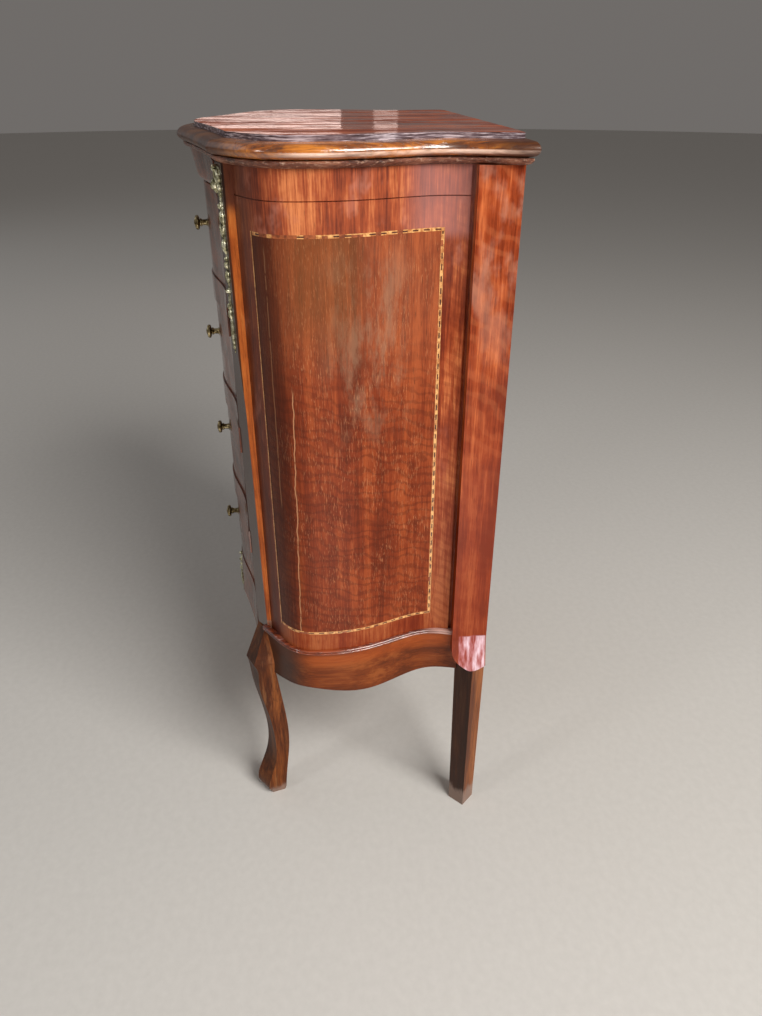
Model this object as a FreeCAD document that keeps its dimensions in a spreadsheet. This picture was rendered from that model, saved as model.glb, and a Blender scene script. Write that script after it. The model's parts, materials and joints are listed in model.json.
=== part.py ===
"""Miniature chest of four drawers with a bowed front, S-curved sides and cabriole front legs.

+X is the chest's right as a person facing its front sees it, -Y is the front, +Z is up.
The origin is on the floor, under the middle of the whole piece.
Left pieces are mirror images of the right ones.
"""
import FreeCAD, Part
import Sketcher
import math
import os

from FreeCAD import Vector

# alias, millimetres, meaning
SIZES = [
    ("overall_height", 510.0, "floor to the flat of the top"),
    ("half_width", 160.0, "middle to the widest place of a side panel"),
    ("case_depth", 186.8, "back of the case to the drawer faces at the middle"),
    ("back_plane", 98.75, "Y of the back of the case"),
    ("cap_underside", 494.8, "top of the case, where the cornice bead starts"),
    ("bead_top", 498.6, "top of the cornice bead and underside of the top board"),
    ("torus_top", 507.0, "top of the thumb moulding"),
    ("flat_inset", 4.0, "top board edge, inside the cornice line"),
    ("torus_reach", 7.9, "thumb moulding beyond the cornice line"),
    ("bead_reach", 4.4, "cornice bead beyond the cornice line"),
    ("rear_share", 0.55, "share of a moulding's reach that it has at the back"),
    ("corner_cut", 1.2, "rear corners of the top board cut back, front to back"),
    ("corner_run", 20.0, "length of that cut across the board"),
    ("first_opening_top", 475.0, "top of the upper drawer opening"),
    ("opening_height", 61.0, "height of each drawer opening"),
    ("rail_height", 17.7, "height of a drawer rail"),
    ("opening_half", 116.9, "middle to the side of a drawer opening"),
    ("rail_proud", 1.0, "drawer rails in front of the drawer faces"),
    ("rail_depth", 148.0, "back of the rails, measured from the back of the case"),
    ("front_inner", 158.0, "flat back of the drawer fronts, from the back of the case"),
    ("frieze_line", 479.3, "top of the side panels and underside of the side friezes"),
    ("panel_bottom", 180.0, "bottom of the side panels"),
    ("panel_thick", 7.0, "side panels, friezes and aprons"),
    ("veneer_thick", 0.8, "depth of the let-in field veneer and stringing"),
    ("string_top", 462.5, "top of the stringing rectangle"),
    ("string_bottom", 196.2, "bottom of the stringing rectangle"),
    ("string_width", 2.2, "width of the stringing"),
    ("string_front_x", 143.4, "X of the stringing's front edge"),
    ("string_rear", 40.6, "stringing's rear edge, from the back of the case"),
    ("stile_width", 25.0, "rear stile, front to back"),
    ("stile_face", 150.6, "middle to the outer face of a rear stile"),
    ("stile_inner", 137.0, "middle to the inner face of a rear stile"),
    ("stile_foot", 176.0, "where the stile's flat face ends"),
    ("tongue_tip", 151.0, "lowest point of the stile's rounded tongue"),
    ("tongue_flare", 5.4, "how far the tongue leans outwards"),
    ("stile_gap", 2.4, "groove between a side panel and its stile"),
    ("reed_height", 1.9, "each of the two reeds of the lower bead"),
    ("reed_reach", 2.1, "reeds beyond the side's line"),
    ("post_foot", 177.9, "bottom of the front posts and top of the front legs"),
    ("relief_top", 386.0, "height below which a post's outer edge is planed back"),
    ("relief_bend", 350.0, "height where that planing grows slower"),
    ("relief_upper", 1.6, "planed off the edge at the bend"),
    ("relief_lower", 2.7, "planed off the edge at the foot of the post"),
    ("apron_low", 130.0, "height that the side aprons are cut from"),
    ("front_apron_low", 128.0, "height that the front apron is cut from"),
    ("tail_step", 4.0, "bottom board and front apron stop this far behind the drawer fronts"),
    ("back_rail_inset", 4.0, "rear rail in front of the case back"),
    ("quirk_depth", 0.9, "scratched line under the side frieze"),
    ("quirk_height", 0.6, "scratched line under the side frieze"),
    ("knee_height", 150.0, "height of the knee of a front leg"),
    ("back_thick", 5.0, "back panel"),
    ("bottom_thick", 6.0, "bottom board and drawer runners"),
    ("runner_inner", 100.0, "middle to the inner edge of a runner"),
    ("guide_inner", 110.6, "middle to the inner face of a drawer guide"),
    ("guide_height", 9.0, "drawer guide above its runner"),
    ("guide_width", 6.0, "drawer guide"),
    ("guide_setback", 3.0, "front end of a guide behind the back of the rails"),
    ("front_gap", 0.5, "gap between a drawer front and its opening, at the sides"),
    ("front_lift", 0.35, "gap above and below a drawer front"),
    ("box_half", 110.2, "middle to the outer face of a drawer side"),
    ("box_wall", 6.0, "drawer sides and back"),
    ("box_height", 50.0, "drawer sides"),
    ("box_back", 12.0, "back of the drawer box, from the back of the case"),
    ("floor_thick", 3.0, "drawer bottom"),
    ("floor_lift", 4.0, "drawer bottom above the lower edge of the sides"),
    ("rail_tail_half", 111.9, "middle to the end of a rail's rear part"),
    ("back_rail_height", 23.8, "rail between the rear legs"),
    ("back_rail_thick", 10.0, "rail between the rear legs"),
    ("knob_head", 4.9, "radius of a knob's head"),
    ("knob_neck", 2.0, "radius of a knob's neck"),
    ("knob_stem", 1.5, "radius of the stem through the drawer front"),
    ("knob_reach", 10.8, "knob in front of the drawer face"),
    ("knob_hole", 1.6, "radius of the hole for the stem"),
    ("drawer_count", 4, "number of drawers"),
]

doc = FreeCAD.newDocument("miniature_chest")
sheet = doc.addObject("Spreadsheet::Sheet", "sizes")
for row, (alias, value, meaning) in enumerate(SIZES, start=1):
    sheet.set("A%d" % row, meaning)
    sheet.set("B%d" % row, str(value))
    sheet.setAlias("B%d" % row, alias)
doc.recompute()

NODES = {}


def size(alias):
    """A driving dimension, read back from the sheet."""
    return float(sheet.get(alias))


def named(node, obj):
    """Call an object by its node name and keep it for export."""
    obj.Label = node
    NODES[node] = obj
    return obj


# ---------------------------------------------------------------- document objects
def solid(name, shape):
    """A piece whose shape comes from Part's own functions."""
    obj = doc.addObject("Part::Feature", name)
    obj.Shape = shape
    return obj


def box(name, x_span, y_span, z_span):
    """A block between pairs of expressions over the sheet. Y is given as distance from the case back."""
    obj = doc.addObject("Part::Box", name)
    obj.setExpression("Length", "(%s) - (%s)" % (x_span[1], x_span[0]))
    obj.setExpression("Width", "(%s) - (%s)" % (y_span[0], y_span[1]))
    obj.setExpression("Height", "(%s) - (%s)" % (z_span[1], z_span[0]))
    obj.setExpression(".Placement.Base.x", x_span[0])
    obj.setExpression(".Placement.Base.y", "sizes.back_plane - (%s)" % y_span[0])
    obj.setExpression(".Placement.Base.z", z_span[0])
    return obj


def cylinder_y(name, radius, x, z, y_span):
    """A cylinder along Y, between two distances from the case back."""
    obj = doc.addObject("Part::Cylinder", name)
    obj.Placement.Rotation = FreeCAD.Rotation(Vector(1, 0, 0), -90)
    obj.setExpression("Radius", radius)
    obj.setExpression("Height", "(%s) - (%s)" % (y_span[0], y_span[1]))
    obj.setExpression(".Placement.Base.x", x)
    obj.setExpression(".Placement.Base.y", "sizes.back_plane - (%s)" % y_span[0])
    obj.setExpression(".Placement.Base.z", z)
    return obj


def combine(kind, name, base, tool):
    """A Part boolean of two objects: Common or Cut."""
    obj = doc.addObject("Part::" + kind, name)
    obj.Base = base
    obj.Tool = tool
    return obj


def fuse(name, pieces):
    obj = doc.addObject("Part::MultiFuse", name)
    obj.Shapes = pieces
    return obj


def group(name, pieces):
    """Several separate solids in one node."""
    obj = doc.addObject("Part::Compound", name)
    obj.Links = pieces
    return obj


def mirrored(name, source):
    obj = doc.addObject("Part::Mirroring", name)
    obj.Source = source
    obj.Base = Vector(0, 0, 0)
    obj.Normal = Vector(1, 0, 0)
    return obj


def both_sides(node, right):
    """Name the right piece and make its left twin."""
    named(node + "_right", right)
    named(node + "_left", mirrored(node + "_mirror", right))


# ---------------------------------------------------------------- plan lines
# Fractions of the half width and of the case depth, the depth measured from the case back.
DRAWER_FACE = [(0.0, 1.0), (0.144, 0.990), (0.29, 0.955), (0.4375, 0.921), (0.5875, 0.9025), (0.731, 0.892)]
CORNICE_FRONT = [(0.0, 1.034), (0.144, 1.0225), (0.2875, 0.985), (0.4875, 0.934), (0.797, 0.864)]
CORNICE_SIDE = [(0.797, 0.864), (0.9125, 0.790), (0.975, 0.731), (1.0, 0.632), (0.981, 0.479),
                (0.920, 0.337), (0.8875, 0.225), (0.912, 0.118), (0.953, 0.0)]
PANEL_SIDE = [(0.804, 0.836), (0.9125, 0.783), (0.975, 0.731), (1.0, 0.632), (0.981, 0.479),
              (0.920, 0.337), (0.886, 0.225), (0.906, 0.134)]
SKIRT_SIDE = CORNICE_SIDE[:7] + PANEL_SIDE[-1:] + [(0.914, 0.108)]
POST = [(0.731, 0.892), (0.800, 0.867), (0.804, 0.836), (0.7844, 0.782), (0.706, 0.782), (0.706, 0.842),
        (0.731, 0.842)]
# angles of a half round, from its underside to its top
HALF_TURN = [math.radians(-90 + 30 * step) for step in range(7)]


def plan(across, deep):
    """A plan point from its fractions of the half width and the case depth."""
    return Vector(across * size("half_width"), size("back_plane") - deep * size("case_depth"), 0)


def swap_side(point):
    return Vector(-point.x, point.y, point.z)


def whole_front(half_line):
    """A front line from the left end to the right end, out of its right half."""
    right = [plan(*point) for point in half_line]
    return [swap_side(point) for point in reversed(right[1:])] + right


def spline(points):
    curve = Part.BSplineCurve()
    curve.interpolate(points)
    return curve


def shifted(points, reach, sideways):
    """Points moved out by reach along the normals of the spline through them, sideways its outward turn."""
    curve = spline(points)
    moved = []
    for point in points:
        tangent = curve.tangent(curve.parameter(point))[0]
        normal = Vector(tangent.y, -tangent.x, 0) * sideways
        moved.append(point + normal * reach)
    return moved


def raised(points, z):
    return [Vector(point.x, point.y, z) for point in points]


def closed_face(edges):
    return Part.Face(Part.Wire(edges))


def mitre(front_end, front_dir, side_start, side_dir):
    """Where the last direction of the front line meets the first direction of the side line."""
    cross = front_dir.x * side_dir.y - front_dir.y * side_dir.x
    gap = side_start - front_end
    along = (gap.x * side_dir.y - gap.y * side_dir.x) / cross
    return front_end + front_dir * along


def cornice_wire(reach, z):
    """The closed cornice line, reach outside its base line, at height z."""
    front = whole_front(CORNICE_FRONT)
    side = [plan(*point) for point in CORNICE_SIDE]
    front_out = shifted(front, reach, 1)
    side_out = shifted(side, reach, 1)
    front_curve = spline(front)
    side_curve = spline(side)
    front_dir = front_curve.tangent(front_curve.LastParameter)[0]
    side_dir = side_curve.tangent(side_curve.FirstParameter)[0]
    corner = mitre(front_out[-1], front_dir, side_out[0], side_dir)
    front_out[-1] = corner
    front_out[0] = swap_side(corner)
    side_out[0] = corner
    outside = reach > 0
    back_y = side[-1].y + (reach * size("rear_share") if outside else 0)
    end_y = back_y - (0 if outside else size("corner_cut"))
    rear_dir = side_curve.tangent(side_curve.LastParameter)[0]
    side_out[-1] = side_out[-1] + rear_dir * ((end_y - side_out[-1].y) / rear_dir.y)
    rear = [side_out[-1]]
    if not outside:
        rear.append(Vector(side_out[-1].x - size("corner_run"), back_y, 0))
    rear += [swap_side(point) for point in reversed(rear)]
    left_out = [swap_side(point) for point in reversed(side_out)]
    lines = [raised(points, z) for points in (front_out, side_out, rear, left_out)]
    edges = [spline(lines[0]).toShape(), spline(lines[1]).toShape()]
    edges += [Part.makeLine(start, end) for start, end in zip(lines[2], lines[2][1:])]
    edges.append(spline(lines[3]).toShape())
    return Part.Wire(edges)


def front_prism(line, proud, depth, z_low, z_high, half_span=None):
    """The block behind a front line, back to a given distance from the case back."""
    points = [Vector(point.x, point.y - proud, z_low) for point in whole_front(line)]
    back_y = size("back_plane") - depth
    rear = [Vector(points[-1].x, back_y, z_low), Vector(points[0].x, back_y, z_low)]
    edges = [
        spline(points).toShape(),
        Part.makeLine(points[-1], rear[0]),
        Part.makeLine(rear[0], rear[1]),
        Part.makeLine(rear[1], points[0]),
    ]
    return closed_face(edges).extrude(Vector(0, 0, z_high - z_low))


def side_shell(line, outer, inner, z_low, z_high):
    """A curved board standing on a side line, between two distances out from it."""
    base = [plan(*point) for point in line]
    out = raised(shifted(base, outer, 1), z_low)
    back = raised(shifted(base, inner, 1), z_low)
    edges = [
        spline(out).toShape(),
        Part.makeLine(out[-1], back[-1]),
        spline(list(reversed(back))).toShape(),
        Part.makeLine(back[0], out[0]),
    ]
    return closed_face(edges).extrude(Vector(0, 0, z_high - z_low))


def block(x_span, deep_span, z_span):
    """A plain block for cutting, its Y given as distances from the case back."""
    y_low = size("back_plane") - deep_span[0]
    corner = Vector(x_span[0], y_low, z_span[0])
    return Part.makeBox(x_span[1] - x_span[0], deep_span[0] - deep_span[1], z_span[1] - z_span[0], corner)


def bow_wire(line, rear_y):
    """A closed wire: a smooth level line across the front and a straight back."""
    z = line[0].z
    rear = [Vector(line[-1].x, rear_y, z), Vector(line[0].x, rear_y, z)]
    return Part.Wire([
        spline(line).toShape(),
        Part.makeLine(line[-1], rear[0]),
        Part.makeLine(rear[0], rear[1]),
        Part.makeLine(rear[1], line[0]),
    ])


def skirt_face(edge, high):
    """An upright face above a shaped lower edge, squared off at a height."""
    first = Vector(edge[0].x, edge[0].y, high)
    last = Vector(edge[-1].x, edge[-1].y, high)
    return closed_face([
        spline(edge).toShape(),
        Part.makeLine(edge[-1], last),
        Part.makeLine(last, first),
        Part.makeLine(first, edge[0]),
    ])


def polygon_prism(points, direction):
    ring = points + [points[0]]
    return Part.Face(Part.makePolygon(ring)).extrude(direction)


# ---------------------------------------------------------------- top and cornice
def ring_between(outer_levels, inner_reach):
    """A moulding ring: a smooth loft of cornice lines, less the block inside it."""
    z_low = outer_levels[0][1]
    z_high = outer_levels[-1][1]
    body = Part.makeLoft([cornice_wire(reach, z) for reach, z in outer_levels], True, False)
    core = Part.Face(cornice_wire(inner_reach, z_low - 1)).extrude(Vector(0, 0, z_high - z_low + 2))
    return body.cut(core)


def mitre_sectors():
    """Four blocks that part a ring along its mitres: front, right, left, back."""
    corner = plan(*CORNICE_SIDE[0])
    rear = plan(*CORNICE_SIDE[-1])
    far = 3 * size("half_width")
    front_tip = Vector(far, corner.y - (far - corner.x) * 1.35, 0)
    rear_slope = size("rear_share")
    rear_tip = Vector(far, rear.y + rear_slope * (far - rear.x), 0)
    centre_front = Vector(0, corner.y + 60, 0)
    centre_rear = Vector(0, rear.y - 60, 0)
    inner_front = Vector(corner.x - 40, corner.y + 54, 0)
    inner_rear = Vector(rear.x - 40, rear.y - 40 * rear_slope, 0)
    right = [inner_front, corner, front_tip, rear_tip, rear, inner_rear]
    front = [centre_front, swap_side(inner_front), swap_side(corner), swap_side(front_tip),
             front_tip, corner, inner_front]
    back = [centre_rear, inner_rear, rear, rear_tip,
            swap_side(rear_tip), swap_side(rear), swap_side(inner_rear)]
    low = Vector(0, 0, size("cap_underside") - 5)
    up = Vector(0, 0, 30)
    blocks = []
    for ring in (front, right, [swap_side(point) for point in right], back):
        prism = polygon_prism(ring, up)
        prism.translate(low)
        blocks.append(prism)
    return blocks


def make_top():
    board = Part.Face(cornice_wire(-size("flat_inset"), size("bead_top")))
    board = board.extrude(Vector(0, 0, size("overall_height") - size("bead_top")))
    named("top_board", solid("top_slab", board))

    middle = (size("bead_top") + size("torus_top")) / 2
    half = (size("torus_top") - size("bead_top")) / 2
    root = 0.5
    bulge = size("torus_reach") - root
    levels = []
    for angle in HALF_TURN:
        levels.append((root + bulge * math.cos(angle), middle + half * math.sin(angle)))
    torus = ring_between(levels, -size("flat_inset"))
    names = ("front", "right", "left", "back")
    for name, sector in zip(names, mitre_sectors()):
        named("top_moulding_" + name, solid("torus_" + name, torus.common(sector)))

    low = size("cap_underside")
    high = size("bead_top")
    rise = high - low
    reach = size("bead_reach")
    bead_levels = [(0.3, low), (0.45 * reach, low + 0.18 * rise), (0.85 * reach, low + 0.45 * rise),
                   (reach, low + 0.75 * rise), (0.86 * reach, high)]
    bead = ring_between(bead_levels, -size("panel_thick"))
    for name, sector in zip(names[:3], mitre_sectors()[:3]):
        named("cornice_bead_" + name, solid("bead_" + name, bead.common(sector)))


# ---------------------------------------------------------------- side panels
def field_region(front_x, rear, z_low, z_high):
    """The part of a side between an upright line near the front and one near the rear."""
    far = 2 * size("half_width")
    middle = 100.0
    forward = block((front_x, far), (size("case_depth"), middle), (z_low, z_high))
    rearward = block((0, far), (middle, rear), (z_low, z_high))
    return forward.fuse(rearward)


def stop_at_stile(board):
    """End a side board at the stile, with a groove along the joint on its outer face."""
    far = 2 * size("half_width")
    joint = size("stile_width")
    high = size("overall_height")
    groove_depth = 3
    groove = block((size("stile_inner"), far), (joint + size("stile_gap"), joint), (0, high))
    groove = groove.common(side_shell(PANEL_SIDE, 1, -groove_depth, 0, high))
    return board.cut(block((0, far), (joint, -far), (0, high))).cut(groove)


def make_sides():
    thick = size("panel_thick")
    skin = size("veneer_thick")
    low = size("panel_bottom")
    high = size("frieze_line")
    string = size("string_width")
    top = size("string_top")
    bottom = size("string_bottom")
    front_x = size("string_front_x")
    rear = size("string_rear")

    outer = side_shell(PANEL_SIDE, 0, -skin, bottom, top).common(field_region(front_x, rear, bottom, top))
    inner_region = field_region(front_x + string, rear + string, bottom + string, top - string)
    field = outer.common(inner_region)
    stringing = outer.cut(inner_region)
    both_sides("side_veneer", solid("field_veneer", field))
    both_sides("stringing", solid("string_frame", stringing))

    quirk = side_shell(PANEL_SIDE, 1, -size("quirk_depth"), high - size("quirk_height"), high)
    panel = stop_at_stile(side_shell(PANEL_SIDE, 0, -thick, low, high).cut(outer).cut(quirk))
    both_sides("side_panel", solid("panel_board", panel))
    frieze = stop_at_stile(side_shell(PANEL_SIDE, 0, -thick, high, size("cap_underside")))
    both_sides("side_frieze", solid("frieze_board", frieze))


def make_reeds():
    """The two half round reeds of the lower bead, before they are trimmed."""
    base = [plan(*point) for point in SKIRT_SIDE]
    half_reed = size("reed_height") / 2
    root = 0.2
    bury = 2.0
    bulge = size("reed_reach") - root
    middle = size("panel_bottom") + 0.4
    reeds = []
    for centre in (middle - half_reed, middle + half_reed):
        wires = []
        for angle in HALF_TURN:
            z = centre + half_reed * math.sin(angle)
            out = raised(shifted(base, root + bulge * math.cos(angle), 1), z)
            back = raised(shifted(base, -bury, 1), z)
            wires.append(Part.Wire([
                spline(out).toShape(),
                Part.makeLine(out[-1], back[-1]),
                spline(list(reversed(back))).toShape(),
                Part.makeLine(back[0], out[0]),
            ]))
        reeds.append(Part.makeLoft(wires, True, False))
    return reeds


# ---------------------------------------------------------------- posts and legs
def make_post():
    """Front post: canted face, narrow side strip, and a block behind them."""
    low = size("post_foot")
    ring = [Vector(point.x, point.y, low) for point in (plan(*pair) for pair in POST)]
    post = polygon_prism(ring, Vector(0, 0, size("cap_underside") - low))
    shell = side_shell(PANEL_SIDE, 30, -size("panel_thick"), low - 1, size("overall_height"))
    return post.cut(shell).cut(post_relief())


def post_relief():
    """What is planed off a post's outer edge, so that its side strip narrows below the mount."""
    inner, arris, rear = [plan(*pair) for pair in POST[:3]]
    back = (rear - arris).normalize()
    slant = (arris - inner).normalize()
    clear = Vector(slant.y, -slant.x, 0) * 20
    rings = []
    for z, cut in ((size("relief_top"), 0.0), (size("relief_bend"), size("relief_upper")),
                   (size("post_foot") - 1, size("relief_lower"))):
        edge = arris + back * cut
        ring = raised([inner, edge, edge + clear, inner + clear], z)
        rings.append(Part.makePolygon(ring + [ring[0]]))
    return Part.makeLoft(rings, True, True)


def quad(z, corners):
    """A closed four-sided ring at height z; corners are plan points from the case back."""
    points = [Vector(x, size("back_plane") - deep, z) for x, deep in corners]
    return Part.makePolygon(points + [points[0]])


# height, then the outer arris, front corner, inner corner and rear corner of the section
FRONT_LEG = [
    (150.0, (135.5, 171.2), (122.5, 177.8), (112.0, 163.0), (134.5, 156.0)),
    (130.0, (134.0, 169.0), (122.0, 175.2), (113.0, 161.0), (132.0, 154.6)),
    (105.0, (131.0, 166.2), (120.4, 171.4), (112.8, 158.6), (128.4, 152.4)),
    (80.0, (127.8, 162.6), (118.2, 168.0), (111.0, 156.6), (125.4, 150.6)),
    (55.0, (125.4, 161.4), (116.0, 168.2), (109.0, 157.2), (123.2, 150.8)),
    (34.0, (125.0, 163.2), (115.2, 173.2), (107.4, 160.0), (122.8, 153.0)),
    (17.0, (127.4, 168.6), (117.6, 179.0), (107.4, 164.0), (124.2, 155.0)),
    (5.0, (127.0, 169.0), (116.8, 177.2), (107.0, 163.4), (123.4, 156.0)),
]
LEG_TOP = ((128.1, 161.8), (116.9, 166.6), (112.0, 148.0), (129.5, 150.0))
FOOT_SOLE = ((125.0, 167.4), (116.2, 174.6), (108.0, 163.6), (122.2, 157.4))


def make_front_leg():
    knee = quad(size("knee_height"), FRONT_LEG[0][1:])
    upper = Part.makeLoft([knee, quad(size("post_foot"), LEG_TOP)], True, True)
    rings = [quad(station[0], station[1:]) for station in reversed(FRONT_LEG)]
    lower = Part.makeLoft(rings, True, False)
    sole = Part.makeLoft([quad(0, FOOT_SOLE), quad(FRONT_LEG[-1][0], FRONT_LEG[-1][1:])], True, True)
    return upper.fuse([lower, sole])


def diamond(z, centre_x, centre_deep, reach):
    corners = ((centre_x + reach, centre_deep), (centre_x, centre_deep + reach),
               (centre_x - reach, centre_deep), (centre_x, centre_deep - reach))
    return quad(z, corners)


def make_stile():
    """Rear stile with the rounded tongue that runs out over the leg."""
    foot = size("stile_foot")
    tip = size("tongue_tip")
    face = size("stile_face")
    inner = size("stile_inner")
    wide = size("stile_width")
    back = size("back_plane")
    stile = block((inner, face), (wide, 0), (foot, size("cap_underside")))
    flare = size("tongue_flare")
    lean = [Vector(inner, back - wide, tip), Vector(face + flare, back - wide, tip),
            Vector(face, back - wide, foot), Vector(inner, back - wide, foot)]
    wedge = polygon_prism(lean, Vector(0, wide, 0))
    left = back - wide
    edge = [Vector(0, left, foot), Vector(0, left, tip + 15), Vector(0, left + 3.2, tip + 8),
            Vector(0, left + 8.0, tip + 3.4), Vector(0, left + 14.0, tip), Vector(0, left + 19.0, tip + 0.8),
            Vector(0, back, tip + 4.0), Vector(0, back, foot)]
    outline = closed_face([
        Part.makeLine(edge[0], edge[1]),
        spline(edge[1:7]).toShape(),
        Part.makeLine(edge[6], edge[7]),
        Part.makeLine(edge[7], edge[0]),
    ])
    tongue = wedge.common(outline.extrude(Vector(2 * size("half_width"), 0, 0)))
    return stile.fuse(tongue).removeSplitter()


def make_rear_leg(stile):
    """Straight leg set cornerwise under the stile, trimmed to the tongue's leaning face."""
    foot = size("stile_foot")
    tip = size("tongue_tip")
    face = size("stile_face")
    far = 2 * size("half_width")
    leg = Part.makeLoft([diamond(0, 141.6, 8.4, 10.0), diamond(foot, 144.8, 9.6, 11.6)], True, True)
    front_y = size("back_plane") - 2 * size("stile_width")
    outside = [Vector(face + size("tongue_flare"), front_y, tip), Vector(far, front_y, tip),
               Vector(far, front_y, foot + 1), Vector(face, front_y, foot + 1), Vector(face, front_y, foot)]
    beyond_lean = polygon_prism(outside, Vector(0, 4 * size("stile_width"), 0))
    behind = block((0, far), (0, -far), (tip, foot + 1))
    leg = leg.cut(beyond_lean).cut(behind).cut(stile)
    return max(leg.Solids, key=lambda piece: piece.Volume)


# ---------------------------------------------------------------- aprons
def make_side_apron(leg, stile, rear_leg, bead):
    thick = size("panel_thick")
    low = size("apron_low")
    high = size("panel_bottom")
    apron = side_shell(SKIRT_SIDE, -0.3, -thick, low, high)
    back = size("back_plane")
    edge = [(180.0, 139.0), (156.0, 141.5), (137.0, 146.6), (115.0, 144.4), (85.0, 140.4), (60.0, 142.6),
            (38.0, 145.2), (10.0, 145.4)]
    points = [Vector(0, back - deep, z) for deep, z in edge]
    outline = skirt_face(points, high + 5)
    apron = apron.common(outline.extrude(Vector(2 * size("half_width"), 0, 0)))
    return apron.cut(leg).cut(stile).cut(rear_leg).cut(bead)


def make_front_apron(leg):
    high = size("post_foot")
    low = size("front_apron_low")
    rear_y = size("back_plane") - size("front_inner") + size("tail_step")
    wires = []
    for z, proud in ((low, 3.0), (high, 0.6)):
        line = [Vector(point.x, point.y - proud, z) for point in whole_front(DRAWER_FACE)]
        wires.append(bow_wire(line, rear_y))
    apron = Part.makeLoft(wires, True, True)
    # distance from the middle, height of the lower edge
    half = [(0.0, 133.0), (14.0, 135.0), (25.0, 142.0), (40.0, 143.6), (64.0, 140.6), (90.0, 141.0),
            (122.0, 150.0)]
    clear = 30
    front_y = size("back_plane") - size("case_depth") - clear
    edge = [Vector(-x, front_y, z) for x, z in reversed(half[1:])]
    edge += [Vector(x, front_y, z) for x, z in half]
    outline = skirt_face(edge, high + 5)
    apron = apron.common(outline.extrude(Vector(0, 3 * clear, 0)))
    other_leg = leg.mirror(Vector(0, 0, 0), Vector(1, 0, 0))
    return apron.cut(leg).cut(other_leg)


# ---------------------------------------------------------------- carcass
def interior_half():
    """Plan of the space inside the right side panel, out from the runners' inner edge."""
    base = [plan(*point) for point in PANEL_SIDE]
    wall = shifted(base, -size("panel_thick"), 1)
    inner = size("runner_inner")
    ends = [Vector(inner, wall[-1].y, 0), Vector(inner, wall[0].y, 0)]
    return closed_face([
        spline(wall).toShape(),
        Part.makeLine(wall[-1], ends[0]),
        Part.makeLine(ends[0], ends[1]),
        Part.makeLine(ends[1], wall[0]),
    ])


def opening_bottom(number):
    """Height of the bottom of a drawer opening; drawer 1 is the upper one."""
    pitch = size("opening_height") + size("rail_height")
    return size("first_opening_top") - size("opening_height") - (number - 1) * pitch


def opening_formula(number):
    """The same height as an expression over the sheet."""
    first = "sizes.first_opening_top - sizes.opening_height"
    return "(%s - %d * (sizes.opening_height + sizes.rail_height))" % (first, number - 1)


def make_guide(level):
    """Strip beside a drawer, standing on a runner."""
    span = (size("guide_inner"), size("guide_inner") + size("guide_width"))
    depth = (size("rail_depth") - size("guide_setback"), size("stile_width"))
    return block(span, depth, (level, level + size("guide_height")))


def make_runners(post):
    """Shaped runners with their guides, glued to the side panels under the drawers."""
    thick = size("bottom_thick")
    far = 2 * size("half_width")
    pieces = []
    face = interior_half()
    for number in range(1, int(size("drawer_count"))):
        level = opening_bottom(number)
        runner = face.copy()
        runner.translate(Vector(0, 0, level - thick))
        runner = runner.extrude(Vector(0, 0, thick))
        reach = block((0, far), (size("rail_depth"), size("stile_width")), (level - thick, level))
        right = runner.common(reach).fuse(make_guide(level)).cut(post)
        pieces += [right, right.mirror(Vector(0, 0, 0), Vector(1, 0, 0))]
    return Part.makeCompound(pieces)


def make_bottom(cutters):
    """Bottom board, which also carries the lowest drawer."""
    level = opening_bottom(int(size("drawer_count")))
    thick = size("bottom_thick")
    half = interior_half()
    board = half.extrude(Vector(0, 0, thick))
    board.translate(Vector(0, 0, level - thick))
    other = board.mirror(Vector(0, 0, 0), Vector(1, 0, 0))
    inner = size("runner_inner")
    deep = size("back_plane") - half.BoundBox.YMin
    shallow = size("back_plane") - half.BoundBox.YMax
    front_x = size("rail_tail_half")
    stile = size("stile_inner")
    front_end = size("front_inner") - size("tail_step")
    heights = (level - thick, level)
    middle = block((-inner, inner), (front_end, size("back_thick")), heights)
    lip = block((-front_x, front_x), (front_end, size("rail_depth")), heights)
    rear = block((-stile, stile), (shallow, size("back_thick")), heights)
    front = block((-inner, inner), (deep, shallow), heights)
    whole = board.fuse([other, middle, rear, front, lip])
    guide = make_guide(level)
    whole = whole.fuse([guide, guide.mirror(Vector(0, 0, 0), Vector(1, 0, 0))])
    for cutter in cutters:
        whole = whole.cut(cutter)
    return whole.removeSplitter()


def make_back_rail(legs):
    """Rail between the rear legs, under the bottom board."""
    high = opening_bottom(int(size("drawer_count"))) - size("bottom_thick")
    inset = size("back_rail_inset")
    span = (inset + size("back_rail_thick"), inset)
    rail = block((-size("stile_inner"), size("stile_inner")), span, (high - size("back_rail_height"), high))
    for leg in legs:
        rail = rail.cut(leg)
    return max(rail.Solids, key=lambda piece: piece.Volume)


def make_frieze_front():
    """Frieze above the drawers: leaning face, rounded in at its lower edge, fading out at the posts."""
    low = size("first_opening_top") + 0.4
    high = size("cap_underside")
    face = whole_front(DRAWER_FACE)
    top = []
    for point in face:
        across = abs(point.x) / size("opening_half")
        lean = 6.4 * (1 - across ** 1.6) + 0.6
        top.append(Vector(point.x, point.y - lean, 0))
    rear_y = size("back_plane") - size("front_inner")
    wires = []
    # height above the lower edge, share of the lean reached there
    profile = [(0.0, -0.10), (0.9, 0.20), (2.4, 0.42), (4.6, 0.54), (8.0, 0.64), (13.5, 0.81),
               (high - low, 1.0)]
    for rise, share in profile:
        z = low + rise
        line = [Vector(a.x, a.y + (b.y - a.y) * share, z) for a, b in zip(face, top)]
        wires.append(bow_wire(line, rear_y))
    return Part.makeLoft(wires, True, False)


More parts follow.
